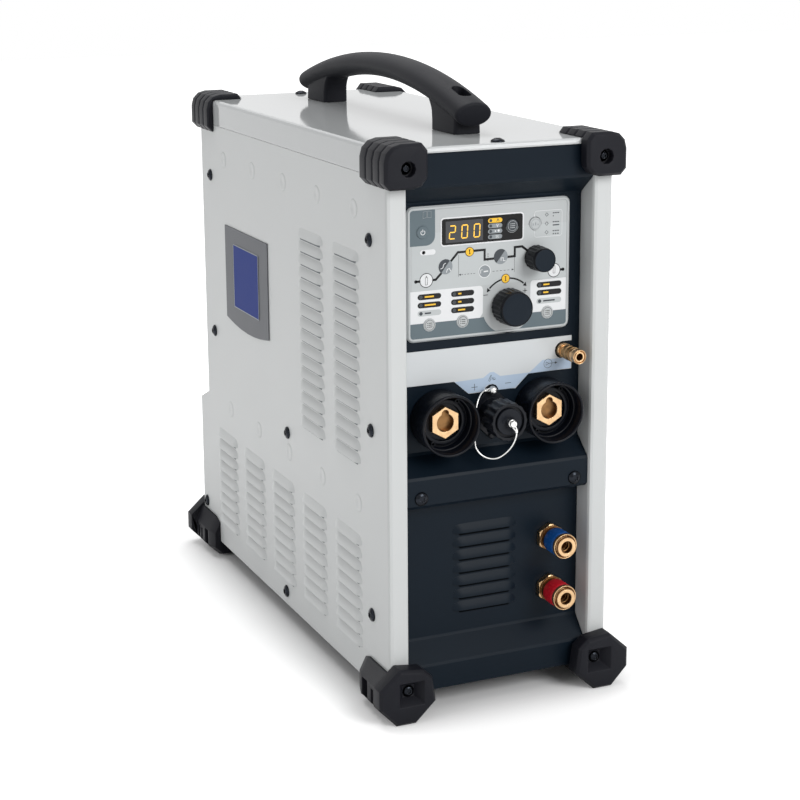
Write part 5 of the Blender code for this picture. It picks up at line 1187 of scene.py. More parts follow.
@dataclass
class ControlPanel:
    """The control surround: its raised rim, printed layout, display and buttons."""

    shop: Workshop
    face: float = 17.0
    left: float = -67.5
    right: float = 64.0
    low: float = 264.0
    high: float = 362.5
    corner: float = 5.0

    def __post_init__(self) -> None:
        """Sets out the panel's face."""
        self.plane = front_plane(self.shop.datum, self.face)

    def build(self) -> None:
        """Makes every piece of the panel."""
        self._rim()
        self._fields()
        self._cycle()
        self._labels()
        self._display()
        self._buttons()

    def _print(self, name: str, finish: str, layer: int) -> Print:
        """Starts a print on the panel's face."""
        return Print(self.plane, f"panel_print_{name}", finish, layer)

    def _set(self, *prints: Print) -> None:
        """Puts finished prints on the panel."""
        for made in prints:
            made.done(self.shop, "machine", "grey_plastic")

    def _rim(self) -> None:
        """Makes the raised rim round the surround."""
        outer = rounded(
            self.left + 0.9, self.right - 0.9, self.low + 0.9, self.high - 0.9, self.corner - 0.9, 6
        )
        inner = shrunk(outer, 1.9)
        shape = Shape()
        loops = (
            (outer, 0.0), (outer, 0.05), (shrunk(outer, 0.25), 0.3), (shrunk(outer, 1.5), 0.3), (inner, 0.0)
        )
        shape.faces_from([self.plane.ring(loop, w) for loop, w in loops], close=True)
        self.shop.put(shape, "control_surround_rim", "bezel_grey", "grey_plastic")

    def _fields(self) -> None:
        """Prints the coloured fields behind everything else."""
        white_left = [(-66.6, 277.7), (-9.5, 277.7), (-7.2, 281.0), (-7.0, 298.5)]
        white_left += arc((-9.8, 298.8), 2.6, 0, 90, 4) + [(-66.6, 301.4)]
        white_right = [(31.6, 277.7), (63.1, 277.7), (63.1, 301.9), (35.0, 301.9)]
        white_right += arc((34.4, 299.2), 2.7, 95, 180, 4)
        self._set(self._print("white_fields", "print_white", 0).area(white_left, white_right))
        cycle = [(-63.3, 301.4), (61.5, 301.8), (61.5, 343.0), (-63.3, 343.0)]
        self._set(self._print("cycle_field", "print_pale_grey", 0).area(cycle))
        patch = [(-66.6, 334.2), (-52.6, 334.2), *arc((-52.2, 341.2), 7.0, -90, 0, 8), (-45.2, 361.6)]
        patch += [(-62.5, 361.6), *arc((-62.6, 357.6), 4.0, 90, 180, 5)]
        band_left = [(-62.5, 264.9), (2.0, 264.9), *arc((13.0, 284.7), 20.5, 238, 199, 6), (-9.6, 277.7)]
        band_left += [(-66.6, 277.7), *arc((-62.4, 269.1), 4.2, 180, 270, 5)]
        band_right = [
            (24.0, 264.9), (58.9, 264.9), *arc((58.9, 269.1), 4.2, -90, 0, 5), (63.1, 277.7), (32.3, 277.7)
        ]
        band_right += arc((13.0, 284.7), 20.5, -20, -58, 6)
        base = [(2.0, 264.9), (24.0, 264.9), *arc((13.0, 284.7), 20.5, -58, -122, 10)]
        slate = self._print("slate_fields", "print_slate", 3)
        self._set(slate.area(patch, band_left, band_right, base))

    def _cycle(self) -> None:
        """Prints the welding cycle: the current's line, its adjusters and the pulse bracket."""
        black = self._print("cycle_line", "print_black", 2)
        first = [
            (-60.4, 308.6), (-44.8, 308.9), (-40.3, 313.3), (-27.2, 327.4), (-5.8, 327.6), (-5.8, 320.4)
        ]
        first += [(18.6, 321.0), (18.6, 327.6), (24.6, 327.7), (50.6, 307.6), (58.4, 308.0)]
        black.line(first, 1.7)
        black.area(*[circle(1.25, 16, p) for p in ((-60.4, 308.6), (58.6, 308.0))])
        for a, b in (((-24.4, 310.9), (-12.4, 311.0)), ((0.6, 311.2), (15.6, 311.3))):
            for i in range(5):
                x = a[0] + (b[0] - a[0]) * (i / 5)
                black.line([(x, a[1]), (x + (b[0] - a[0]) * 0.11, a[1])], 0.28)
        black.area(
            [(-26.6, 310.9), (-24.8, 310.2), (-24.8, 311.6)], [(18.0, 311.3), (16.2, 312.0), (16.2, 310.6)]
        )
        for x in (-26.6, 18.4):
            black.line([(x, 309.4), (x, 325.6)], 0.18)
        for z in (319.0, 320.6, 322.2, 323.8):
            black.line([(-3.1, z), (-3.1, z + 0.9)], 0.5)
        black.line(arc((13.0, 284.9), 20.2, 137, 50, 16), 1.2)
        for turn, way in ((139, 1), (48, -1)):
            tip, near, far = (
                spot((13.0, 284.9), *at) for at in ((20.2, turn + way * 8), (18.6, turn), (21.9, turn))
            )
            black.area([tip, near, far] if way > 0 else [tip, far, near])
        for centre, outer in (
            ((-52.2, 309.0), 5.3), ((51.1, 307.9), 5.3), ((11.2, 305.0), 3.5), ((-17.9, 327.1), 3.5)
        ):
            black.ring(centre, outer, outer - 0.45)
        white = self._print("cycle_white", "print_white", 4)
        white.area(*[circle(4.7, 36, c) for c in ((-52.2, 309.0), (51.1, 307.9))])
        white.ring((-5.8, 311.8), 4.9, 4.4)
        white.frame(rounded(34.4, 57.4, 333.4, 353.0, 2.0), 0.3)
        white.area(pill((-51.0, 329.3), 12.2, 3.9))
        grey = self._print("adjusters", "print_grey", 4)
        for centre, radius in (((-37.0, 317.7), 5.5), ((7.2, 321.6), 5.6), ((-5.8, 311.8), 4.4)):
            grey.area(circle(radius, 40, centre))
        dark = self._print("adjuster_halves", "print_dark_grey", 5)
        for centre, radius in (((-37.0, 317.7), 5.5), ((7.2, 321.6), 5.6)):
            dark.area(arc(centre, radius, 52, 232, 22))
        amber = self._print("amber", "print_amber", 4)
        amber.area(circle(3.05, 32, (-17.9, 327.1)), circle(3.05, 32, (11.2, 305.0)))
        amber.line([(4.2, 325.4), (4.2, 322.6)], 0.8).line([(5.6, 326.0), (4.9, 323.2)], 0.6)
        marks = self._print("marks", "print_black", 6)
        for x, z in ((-17.9, 327.1), (11.2, 305.0)):
            marks.line([(x, z - 1.5), (x, z + 1.5)], 0.55)
            for end in (z + 1.5, z - 1.5):
                marks.line([(x - 0.7, end), (x + 0.7, end)], 0.4)
        for x in (-52.2, 51.1):
            marks.frame([(x - 0.9, 305.6), (x + 0.9, 305.6), (x + 0.9, 311.2), (x - 0.9, 311.2)], 0.25)
            marks.line([(x, 311.2), (x, 312.4)], 0.5)
        marks.line([(-6.6, 294.1), (-3.2, 294.2)], 0.35)
        marks.line([(25.4, 294.6), (29.0, 294.7)], 0.35).line([(27.2, 292.9), (27.2, 296.4)], 0.35)
        curves = self._print("adjuster_curves", "print_white", 6)
        curves.line([(-41.0, 316.4), (-39.2, 317.0), (-38.4, 319.6), (-36.8, 320.4)], 0.5)
        curves.line([(-36.4, 313.4), (-35.6, 315.8), (-34.0, 316.2), (-33.0, 314.2)], 0.5)
        curves.line([(7.4, 318.4), (7.4, 320.6), (9.2, 320.6), (9.2, 318.4), (11.0, 318.4)], 0.45)
        curves.line([(-9.0, 310.4), (-9.0, 313.0), (-7.4, 313.0)], 0.4)
        curves.line([(-6.6, 311.6), (-3.0, 311.8)], 0.9)
        self._set(black, white, grey, dark, amber, marks, curves)

    def _labels(self) -> None:
        """Prints the mode labels as plain dark pills with lamps and short bars, with no words."""
        black = self._print("label_pills", "print_black", 2)
        amber = self._print("label_bars", "print_amber", 3)
        lamps = self._print("label_lamps", "print_dark_grey", 4)
        grey = self._print("grey_pills", "print_pale_grey", 2)
        bars = self._print("grey_bars", "print_dark_grey", 3)
        columns = (
            (-49.8, 18.6, (297.0, 291.0, 285.0), (7.2, 8.6, 5.0), 2),
            (-23.4, 18.4, (297.1, 291.1, 285.1), (2.6, 2.6, 5.6), 3),
            (47.1, 20.6, (297.8, 291.9, 285.6), (5.0, 4.2, 9.6), 2)
        )
        for x, width, levels, lengths, lit in columns:
            for row, (z, length) in enumerate(zip(levels, lengths)):
                dark = row < lit
                (black if dark else grey).area(pill((x, z), width, 4.1))
                lamps.area(circle(1.35, 20, (x - width / 2 + 2.6, z)))
                start = x - width / 2 + 5.6
                (amber if dark else bars).line([(start, z), (start + length, z)], 1.15)
        icons = ((44.6, 349.7), (44.6, 343.1), (44.6, 336.6))
        for x, z in icons:
            lamps.ring((x, z), 1.5, 1.15, 4)
        for z, parts in ((350.6, 3), (344.0, 3), (337.4, 3)):
            for i in range(parts):
                bars.line([(49.6 + i * 1.9, z), (51.0 + i * 1.9, z)], 0.7)
        bars.area(circle(0.45, 10, (50.0, 348.4)))
        bars.line([(49.6, 341.6), (55.0, 341.6)], 0.8)
        for i in range(3):
            bars.line([(49.7 + i * 1.9, 335.2), (50.7 + i * 1.9, 335.2)], 0.8)
        lamps.area(circle(1.3, 20, (-54.2, 329.3)))
        bars.line([(-51.2, 329.3), (-47.0, 329.4)], 0.9)
        book = self._print("book", "print_grey", 8)
        book.frame([(-54.8, 353.6), (-51.6, 354.4), (-51.6, 359.2), (-54.8, 358.6)], 0.3)
        book.frame([(-51.3, 354.4), (-48.2, 353.9), (-48.2, 358.9), (-51.3, 359.2)], 0.3)
        self._set(black, amber, lamps, grey, bars, book)

    def _display(self) -> None:
        """Makes the display's white border, its digits and its unit lamps."""
        window = rounded(-40.0, 24.8, 333.3, 352.3, 1.8)
        border = rounded(-40.95, 25.75, 332.35, 353.25, 2.6)
        shape = Shape()
        shape.band(self.plane, border, window, 0.0, 0.3)
        self.shop.put(shape, "display_border", "print_white", "grey_plastic")
        glass = front_plane(self.shop.datum, self.face - 0.4)
        well = Print(glass, "display_digit_field", "lamp_off", 0)
        well.area([(-37.0, 334.8), (-7.4, 334.8), (-7.4, 350.4), (-37.0, 350.4)])
        lit = Print(glass, "display_digits_lit", "lamp_amber", 2)
        unlit = Print(glass, "display_digits_unlit", "print_dark_grey", 1)
        for left, digit in ((-34.6, 2), (-24.9, 0), (-15.1, 0)):
            for segment, outline in enumerate(seven_segments(left, 337.2, 5.3, 10.2, 0.85)):
                (lit if segment in SEGMENTS[digit] else unlit).area(outline)
        amber = Print(glass, "display_unit_amber", "print_amber", 1)
        amber.area(pill((2.4, 348.6), 11.4, 3.4))
        units = Print(glass, "display_units", "print_grey", 1)
        units.area(*[pill((2.4, z), 11.4, 3.2) for z in (344.7, 340.7, 336.7)])
        dots = Print(glass, "display_unit_lamps", "print_dark_grey", 2)
        dots.area(*[circle(1.15, 18, (-1.2, z)) for z in (348.6, 344.7, 340.7, 336.7)])
        dots.line([(3.6, 347.6), (4.6, 349.6), (5.6, 347.6)], 0.45)
        signs = Print(glass, "display_unit_signs", "print_white", 2)
        signs.line([(3.4, 345.6), (4.2, 343.8), (5.0, 345.6)], 0.4)
        signs.area(circle(0.6, 12, (2.6, 340.7)), circle(0.9, 12, (5.2, 340.9)))
        signs.line([(3.0, 335.8), (5.0, 337.6)], 0.4).area(
            circle(0.4, 10, (3.2, 337.3)), circle(0.4, 10, (4.8, 336.1))
        )
        for made in (well, lit, unlit, amber, units, dots, signs):
            made.done(self.shop, "machine", "window")

    def _buttons(self) -> None:
        """Makes each button's raised collar and printed sign."""
        places = {
            "standby_button": (-55.1, 343.9), "display_button": (16.3, 343.7), "job_button": (35.1, 343.6),
            "process_button": (-49.9, 276.2), "trigger_button": (-23.5, 276.4), "pulse_button": (45.7, 276.8)
        }
        cap = front_plane(self.shop.datum, self.face - 0.8)
        for name, (x, z) in places.items():
            inks = {
                "standby_button": "print_white", "display_button": "print_pale_grey",
                "job_button": "print_grey"
            }
            sign = Print(cap, f"{name}_sign", inks.get(name, "print_black"), 1)
            if name == "standby_button":
                shape = arc((x, z), 1.6, 125, 415, 20)
                sign.line(shape, 0.5).line([(x, z + 0.2), (x, z + 2.3)], 0.5)
            elif name == "job_button":
                for i, height in enumerate((1.6, 2.2, 1.2)):
                    sign.line([(x - 2.0 + i * 2.0, z - 1.1), (x - 2.0 + i * 2.0, z - 1.1 + height)], 0.7)
            else:
                for step in (-1.4, 0.0, 1.4):
                    sign.area(circle(0.3, 10, (x - 1.9, z + step)))
                    sign.line([(x - 1.1, z + step), (x + 2.0, z + step)], 0.42)
            if name != "standby_button":
                sign.ring((x, z), 3.75, 3.5)
            sign.done(self.shop, name, "grey_plastic")
        self.shop.redress("print_slate", "standby_button")
        self.shop.redress("print_dark_grey", "display_button")
        self.shop.redress("bezel_grey", "job_button", "process_button", "trigger_button", "pulse_button")
        self.shop.redress("bezel_grey", "control_bezel")


SEGMENTS = {0: (0, 1, 2, 3, 4, 5), 2: (0, 1, 6, 4, 3)}


def seven_segments(left: float, low: float, width: float, height: float, bar: float) -> list[list[Flat]]:
    """Gives the outlines of a digit's seven segments, slightly slanted.

    Args:
        left: The digit's left edge.
        low: Its bottom edge.
        width: Its width.
        height: Its height.
        bar: The width of a segment.

    Returns:
        Top, upper right, lower right, bottom, lower left, upper left and middle.
    """
    slant, gap, half = 0.05, 0.12, bar / 2
    right, middle, high = left + width, low + height / 2, low + height

    def lying(z: float) -> list[Flat]:
        """Gives a lying segment at a height."""
        a, b = left + half + gap, right - half - gap
        return [
            (a, z), (a + half, z - half), (b - half, z - half), (b, z), (b - half, z + half),
            (a + half, z + half)
        ]

    def standing(x: float, bottom: float, top: float) -> list[Flat]:
        """Gives a standing segment between two heights."""
        a, b = bottom + half + gap, top - half - gap
        return [
            (x, a), (x + half, a + half), (x + half, b - half), (x, b), (x - half, b - half),
            (x - half, a + half)
        ]

    near, far = left + half, right - half
    parts = [
        lying(high - half), standing(far, middle - half, high), standing(far, low, middle + half),
        lying(low + half), standing(near, low, middle + half), standing(near, middle - half, high),
        lying(middle)
    ]
    return [[(x + (z - low) * slant, z) for x, z in part] for part in parts]


@dataclass
class NameStrip:
    """The blank label strip above the sockets, with its polarity, trigger and gas signs."""

    shop: Workshop
    face: float = 18.2

    def build(self) -> None:
        """Prints the strip."""
        plane = front_plane(self.shop.datum, self.face)
        blue = [(-29.2, 231.2), (-18.2, 221.6), (-5.6, 221.6), (-4.9, 224.0), (-3.6, 225.6), (-1.0, 226.6)]
        blue += [
            (2.4, 226.5), (4.6, 225.4), (6.2, 222.9), (6.6, 221.6), (20.2, 221.6), (31.2, 231.3),
            (66.9, 231.9)
        ]
        blue += [
            (66.9, 240.4), (43.0, 240.4), (32.2, 232.0), (8.0, 231.9), (2.6, 235.6), (-0.4, 235.6),
            (-6.0, 231.9)
        ]
        pale = Print(plane, "name_strip_print_blue", "print_pale_blue", 0)
        pale.area(blue).done(self.shop, "machine", "grey_plastic")
        signs = Print(plane, "name_strip_print_signs", "print_dark_grey", 1)
        signs.line([(-15.6, 225.7), (-10.6, 225.7)], 0.4).line([(-13.1, 223.2), (-13.1, 228.2)], 0.4)
        signs.line([(12.0, 226.0), (16.9, 226.0)], 0.4)
        signs.line([(-1.6, 229.0), (-0.2, 232.6), (0.6, 233.4), (0.2, 230.4), (-0.8, 228.4)], 0.35)
        signs.line([(1.2, 230.0), (2.0, 231.6), (2.6, 229.6), (3.8, 229.9), (3.4, 231.4)], 0.35)
        signs.ring((47.6, 237.3), 3.5, 3.2)
        signs.line([(46.0, 236.0), (46.0, 238.6), (48.4, 237.3), (46.0, 236.0)], 0.3)
        signs.line([(48.4, 237.3), (54.4, 237.3)], 0.35)
        signs.area([(55.6, 237.3), (53.6, 238.2), (53.6, 236.4)])
        signs.done(self.shop, "machine", "grey_plastic")
        self.shop.redress("strip_white", "name_strip")


@dataclass
class SideBadge:
    """The left wall's blank badge: a dark frame with a bright edge round a plain coloured field."""

    shop: Workshop
    front: float = 268.0
    rear: float = 331.0
    low: float = 233.0
    high: float = 288.0

    def build(self) -> None:
        """Prints the field and its bright border."""
        low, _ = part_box("side_badge")
        reach = -low.x / MM
        plane = side_plane(self.shop.datum, Side.LEFT, reach)
        outer = rounded(-self.rear, -self.front, self.low, self.high, 1.0, 3)
        border = Print(plane, "side_badge_border", "print_grey", 1)
        border.frame(outer, 0.7).done(self.shop, "machine", "badge")
        field_ink = Print(plane, "side_badge_field", "print_blue", 0)
        field_ink.area(shrunk(outer, 0.6)).done(self.shop, "machine", "badge")


@dataclass
class Louvres:
    """The pressed louvres of the walls: smooth hoods that swell to a lip over their opening, each with a
    painted shadow strip on the wall under its lip.
    """

    shop: Workshop
    width: float = 52.4
    height: float = 7.0
    rise: float = 2.75
    # How far the painted lip shadow reaches down the wall below each lip.
    slit_depth: float = 2.3
    row_pitch: float = 10.14
    column_pitch: float = 71.3

    def hood(self) -> Mesh:
        """Makes one hood with the lower edge of its opening on the origin's line, in millimetres.

        Returns:
            The hood's closed mesh.
        """
        across, down = 18, 6
        shape = Shape()
        new_vert, new_face = shape.bm.verts.new, shape.bm.faces.new
        skins = []
        for sunk in (0.0, 0.85):
            rows = []
            for v in (j / down for j in range(down + 1)):
                row = []
                for u in (i / across for i in range(across + 1)):
                    end = min(u / 0.16, (1 - u) / 0.13, 1.0)
                    swell = math.sin(end * math.pi / 2) ** 0.9 if end < 1 else 1.0
                    lift = self.rise * swell * (1 - v**1.3) - sunk
                    top = self.height * (0.45 + 0.55 * math.sqrt(max(0.0, 1 - abs(2 * u - 1) ** 12)))
                    row.append(new_vert((u * self.width, v * top, lift + 0.02)))
                rows.append(row)
            skins.append(rows)
        outer, inner = skins
        for j in range(down):
            for i in range(across):
                new_face((outer[j][i], outer[j][i + 1], outer[j + 1][i + 1], outer[j + 1][i]))
                new_face((inner[j][i], inner[j + 1][i], inner[j + 1][i + 1], inner[j][i + 1]))
        for i in range(across):
            new_face((outer[0][i + 1], outer[0][i], inner[0][i], inner[0][i + 1]))
            new_face((outer[down][i], outer[down][i + 1], inner[down][i + 1], inner[down][i]))
        for j in range(down):
            new_face((outer[j][0], outer[j + 1][0], inner[j + 1][0], inner[j][0]))
            new_face((outer[j + 1][across], outer[j][across], inner[j][across], inner[j + 1][across]))
        return shape.mesh("hood", 50)

    def slit(self) -> Mesh:
        """Makes the painted shadow under a hood's lip: a thin dark strip laid on the wall below the lip for
        the shade there, not an opening in the sheet.

        Returns:
            The closed mesh.
        """
        bm = bmesh.new()
        bmesh.ops.create_cube(bm, size=1.0)
        for vert in bm.verts:
            share, along = (0.84, 0.3) if vert.co.y > 0 else (0.78, -self.slit_depth)
            vert.co = (self.width * (0.5 + vert.co.x * share), along, 0.09 if vert.co.z > 0 else -0.02)
        mesh = bpy.data.meshes.new("slit")
        bm.to_mesh(mesh)
        bm.free()
        return mesh

    def field(
        self, name: str, plane: Plane, corner: Flat, size: tuple[int, int], finish: str, slot: str
    ) -> None:
        """Sets out a field of louvres.

        Args:
            name: The piece's name.
            plane: The wall's face.
            corner: The lower left corner of the upper left hood, on the face.
            size: The numbers of columns and rows.
            finish: The paint.
            slot: The record's slot.
        """
        # Each field has its hoods and a thin painted shadow strip under every lip.
        shadow = "slit_shadow" if finish == "light_paint" else "dark_slit_shadow"
        kinds = ((name, self.hood(), finish), (name.replace("louvres", "louvre_slits"), self.slit(), shadow))
        spacing = {"Column_Pitch": self.column_pitch, "Row_Pitch": self.row_pitch}
        counts = {"Columns": size[0], "Rows": size[1]}
        for label, template, paint in kinds:
            tree, at = self.shop.patterns.field, plane.matrix(*corner)
            self.shop.repeated(tree, label, template, at, slot, paint, **counts, **spacing)

    def build(self) -> None:
        """Makes the fields of both sides, the front and the rear."""
        datum = self.shop.datum
        for side in Side:
            plane = side_plane(datum, side, 90.0)
            for label, columns, rows, top in (("upper", 2, 16, 319.7), ("lower", 5, 9, 104.0)):
                far = 52.1 + (columns - 1) * self.column_pitch + self.width
                corner = (52.1 if side is Side.RIGHT else -far, top)
                name = f"{side.name.lower()}_{label}_louvres"
                self.field(name, plane, corner, (columns, rows), "light_paint", "light_paint")
        ends = (
            ("front", front_plane(datum, 18.5), (-30.7, 115.2)),
            ("rear", rear_plane(datum, 435.5), (-64.4, 97.7))
        )
        for label, plane, corner in ends:
            self.field(f"{label}_louvres", plane, corner, (1, 7), "dark_paint", "dark_paint")


@dataclass
class SideDimples:
    """The rows of shallow round dimples pressed into the side walls."""

    shop: Workshop
    radius: float = 5.4
    rim: float = 0.32
    skirt: float = 1.7
    pitch: float = 73.7
    count: int = 5
    rows: tuple[Flat, Flat] = ((60.5, 357.4), (58.0, 135.5))

    def dimple(self) -> Mesh:
        """Makes one dimple about the origin: a faint rim that falls into a smooth bowl, in millimetres.

        Returns:
            The dimple's closed mesh.
        """
        skirt = self.radius + self.skirt
        bowl = [(self.radius * k / 5, self.rim * (0.1 + 0.9 * (k / 5) ** 2)) for k in range(5, 0, -1)]
        rows = [
            [(x, y, lift) for x, y in circle(r, 28)] for r, lift in ((skirt, -0.02), (skirt, 0.01), *bowl)
        ]
        shape = Shape()
        shape.faces_from([*rows, [(0.0, 0.0, self.rim * 0.1)]])
        return shape.mesh("dimple", 40)

    def build(self) -> None:
        """Sets both rows out on both sides."""
        for side in Side:
            plane = side_plane(self.shop.datum, side, 90.0)
            for label, (first, level) in zip(("upper", "lower"), self.rows):
                start = first if side is Side.RIGHT else -(first + (self.count - 1) * self.pitch)
                tree, at = self.shop.patterns.field, plane.matrix(start, level)
                name, paint = f"{side.name.lower()}_{label}_dimples", "light_paint"
                sizes = {
                    "Columns": self.count, "Rows": 1, "Column_Pitch": self.pitch, "Row_Pitch": self.pitch
                }
                self.shop.repeated(tree, name, self.dimple(), at, paint, paint, **sizes)


@dataclass
class CaseScrews:
    """The black pan-head screws of the casing."""

    shop: Workshop
    radius: float = 5.2
    proud: float = 2.5
    side_places: tuple[Flat, ...] = (
        (391.5, 340.0), (391.0, 199.5), (31.5, 339.0), (31.5, 198.5), (207.5, 151.5), (32.5, 56.0),
        (217.0, 11.5), (429.0, 29.0)
    )

    def head(self) -> Mesh:
        """Makes one screw head with a six-lobed socket, in millimetres on the origin's plane.

        Returns:
            The closed mesh.
        """
        r, h = self.radius, self.proud
        profile = [
            (r * 0.98, 0.0), (r, 0.25), (r * 0.97, 0.8), (r * 0.86, 1.45), (r * 0.66, 1.9), (r * 0.48, h)
        ]
        rows = [[(x, y, height) for x, y in circle(reach, 24)] for reach, height in profile]
        for reach, height in ((r * 0.44, h - 0.05), (r * 0.42, h - 1.0)):
            lobes = [reach * (1.0 if k % 4 in (0, 1) else 0.78) for k in range(24)]
            rows.append([(x * lobe, y * lobe, height) for lobe, (x, y) in zip(lobes, circle(1.0, 24))])
        shape = Shape()
        shape.faces_from(rows)
        return shape.mesh("head", 40)

    def set_out(self, name: str, plane: Plane, places: Iterable[Flat]) -> None:
        """Puts screws at places on a face."""
        tree, at = self.shop.patterns.scatter, plane.matrix()
        start = [(u, v, 0.0) for u, v in places]
        self.shop.repeated(tree, name, self.head(), at, "black_plastic", "screw_steel", start=start)

    def build(self) -> None:
        """Makes the screws of the sides, the lid and the front strip."""
        datum = self.shop.datum
        for side in Side:
            places = [(side.value * y, z) for y, z in self.side_places]
            self.set_out(f"{side.name.lower()}_side_screws", side_plane(datum, side, 90.0), places)
        self.set_out("lid_screws", top_plane(datum, 406.5), [(0.0, 8.4), (0.0, 401.0)])
        self.set_out("front_strip_screws", front_plane(datum, 3.1), [(-63.0, 151.0), (63.0, 151.0)])


def rayed(count: int, reach: Reach, centre: Flat = (0.0, 0.0)) -> list[Flat]:
    """Gives an anticlockwise outline from its reach in each direction, by angle in radians."""
    turns = [2 * math.pi * i / count for i in range(count)]
    return [(centre[0] + reach(t) * math.cos(t), centre[1] + reach(t) * math.sin(t)) for t in turns]


def hexagon_reach(flats: float, limit: float = 1000.0) -> Reach:
    """Gives the reach of a hexagon with a corner on top, its corners turned down to a limit."""
    sixth = math.pi / 3
    return lambda turn: min(limit, flats / 2 / math.cos((turn + sixth / 2) % sixth - sixth / 2))


def fluted_reach(radius: float, depth: float, count: int, sharpness: float = 1.0) -> Reach:
    """Gives the reach of a round outline with smooth flutes."""
    return lambda turn: radius - depth * (0.5 - 0.5 * math.cos(turn * count)) ** sharpness


def carved(mesh: Mesh, name: str, cutter: Mesh) -> Mesh:
    """Gives the mesh with the cutter's volume taken out of it.

    Args:
        mesh: The mesh.
        name: The new mesh's name.
        cutter: A closed mesh.

    Returns:
        The carved mesh.
    """
    host, tool = linked("host", mesh), linked("tool", cutter)
    modifier = host.modifiers.new("carve", "BOOLEAN")
    modifier.operation = "DIFFERENCE"
    modifier.solver = "EXACT"
    modifier.object = tool
    return creased(applied(host, name, tool), 35)


@dataclass
class WeldingSockets:
    """The two welding sockets: a deep hood with a stepped floor, and a keyed hexagonal brass insert."""

    shop: Workshop
    panel: float = 19.0
    height: float = 205.2
    places: tuple[tuple[str, float], ...] = (("plus_socket", -42.5), ("minus_socket", 42.5))
    hood_radius: float = 23.0
    rim: float = 25.0
    floor: float = 11.5
    seat: float = 8.7
    face: float = 13.5
    flats: float = 21.1
    bore: float = 6.6
    lobe: float = 2.8
    lobe_offset: float = 6.7

    def build(self) -> None:
        """Makes the hoods and the inserts."""
        plane = front_plane(self.shop.datum, self.panel)
        for name, x in self.places:
            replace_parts(self._hood(plane, name, x), f"{name}_hood")
            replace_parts(self._insert(plane, name, x), name)

    def _hood(self, plane: Plane, name: str, x: float) -> Object:
        """Makes a hood: an outer wall with a beaded rim, and a raised floor ring with two screw pillars.

        Args:
            plane: The face that it stands on.
            name: The node's name.
            x: Its middle across the face.

        Returns:
            The piece.
        """
        outer, rim, floor, seat = self.hood_radius, self.rim, self.floor, self.seat
        profile = [
            (8.8, 0.3), (outer - 1.1, 0.3), (outer - 0.6, 1.2), (outer - 0.35, rim - 4.4),
            (outer - 0.3, rim - 3.4), (outer - 0.02, rim - 3.0), (outer, rim - 1.3),
            (outer - 0.15, rim - 0.6), (outer - 0.5, rim - 0.15), (outer - 1.0, rim),
            (outer - 1.5, rim - 0.12), (outer - 1.85, rim - 0.5), (outer - 2.0, rim - 1.1),
            (outer - 2.25, rim - 1.5), (outer - 2.6, floor + 3.4), (outer - 3.3, floor + 3.2),
            (outer - 3.5, floor + 2.9), (outer - 3.6, seat + 0.5), (outer - 4.0, seat), (17.6, seat),
            (17.3, seat + 0.4), (17.15, floor - 0.5), (16.8, floor - 0.1), (16.5, floor), (14.5, floor),
            (14.15, floor - 0.15), (14.0, floor - 0.5), (13.9, seat), (8.8, seat)
        ]
        shape = Shape()
        shape.turned(plane, (x, self.height), profile, 96, ring=True)
        for turn in (57, 238):
            pillar = [(0, seat - 0.3), (1.9, seat - 0.3), (1.9, floor + 1.0), (1.6, floor + 1.3)]
            pillar += [(1.0, floor + 1.3), (0.9, floor + 1.1), (0.85, seat + 0.6), (0, seat + 0.6)]
            shape.turned(plane, spot((x, self.height), 17.9, turn), pillar, 20)
        return self.shop.put(shape, f"{name}_hood_moulding", "hood_plastic", "black_plastic", sharp=40)

    def _key(self, ease: float) -> Reach:
        """Gives the reach of the keyed bore, widened by an ease.

        Args:
            ease: The ease, in millimetres.

        Returns:
            The reach by angle.
        """

        def reach(turn: float) -> float:
            """Gives the bore's reach at an angle."""
            inside = (self.lobe + ease) ** 2 - (self.lobe_offset * math.cos(turn)) ** 2
            far = self.lobe_offset * math.sin(turn) + math.sqrt(inside) if inside > 0 else 0.0
            return max(self.bore + ease, far)

        return reach

    def _insert(self, plane: Plane, name: str, x: float) -> Object:
        """Makes a brass insert: bright on its face, with darker brass painted down its bore as shade.

        Args:
            plane: The face that it stands on.
            name: The node's name.
            x: Its middle across the face.

        Returns:
            The piece.
        """
        centre, face = (x, self.height), self.face
        flats = hexagon_reach(self.flats)
        small = hexagon_reach(self.flats - 0.7)
        loops = [
            (flats, self.seat + 0.3), (flats, face - 0.35), (small, face), (self._key(0.3), face),
            (self._key(0.0), face - 0.3), (self._key(0.0), 4.6), (self._key(-0.5), 4.2),
            (self._key(-0.5), 1.6)
        ]
        rows = [plane.ring(rayed(120, reach, centre), w) for reach, w in loops]
        rows.append([plane.at(*centre, 0.4)])
        shape = Shape()
        shape.faces_from(rows)
        mesh = shape.mesh(f"{name}_insert", 30)
        bore = self.flats / 2 - 0.45
        return self.shop.brass(mesh, plane, centre, lambda away, across: away < face - 0.2 and across < bore)


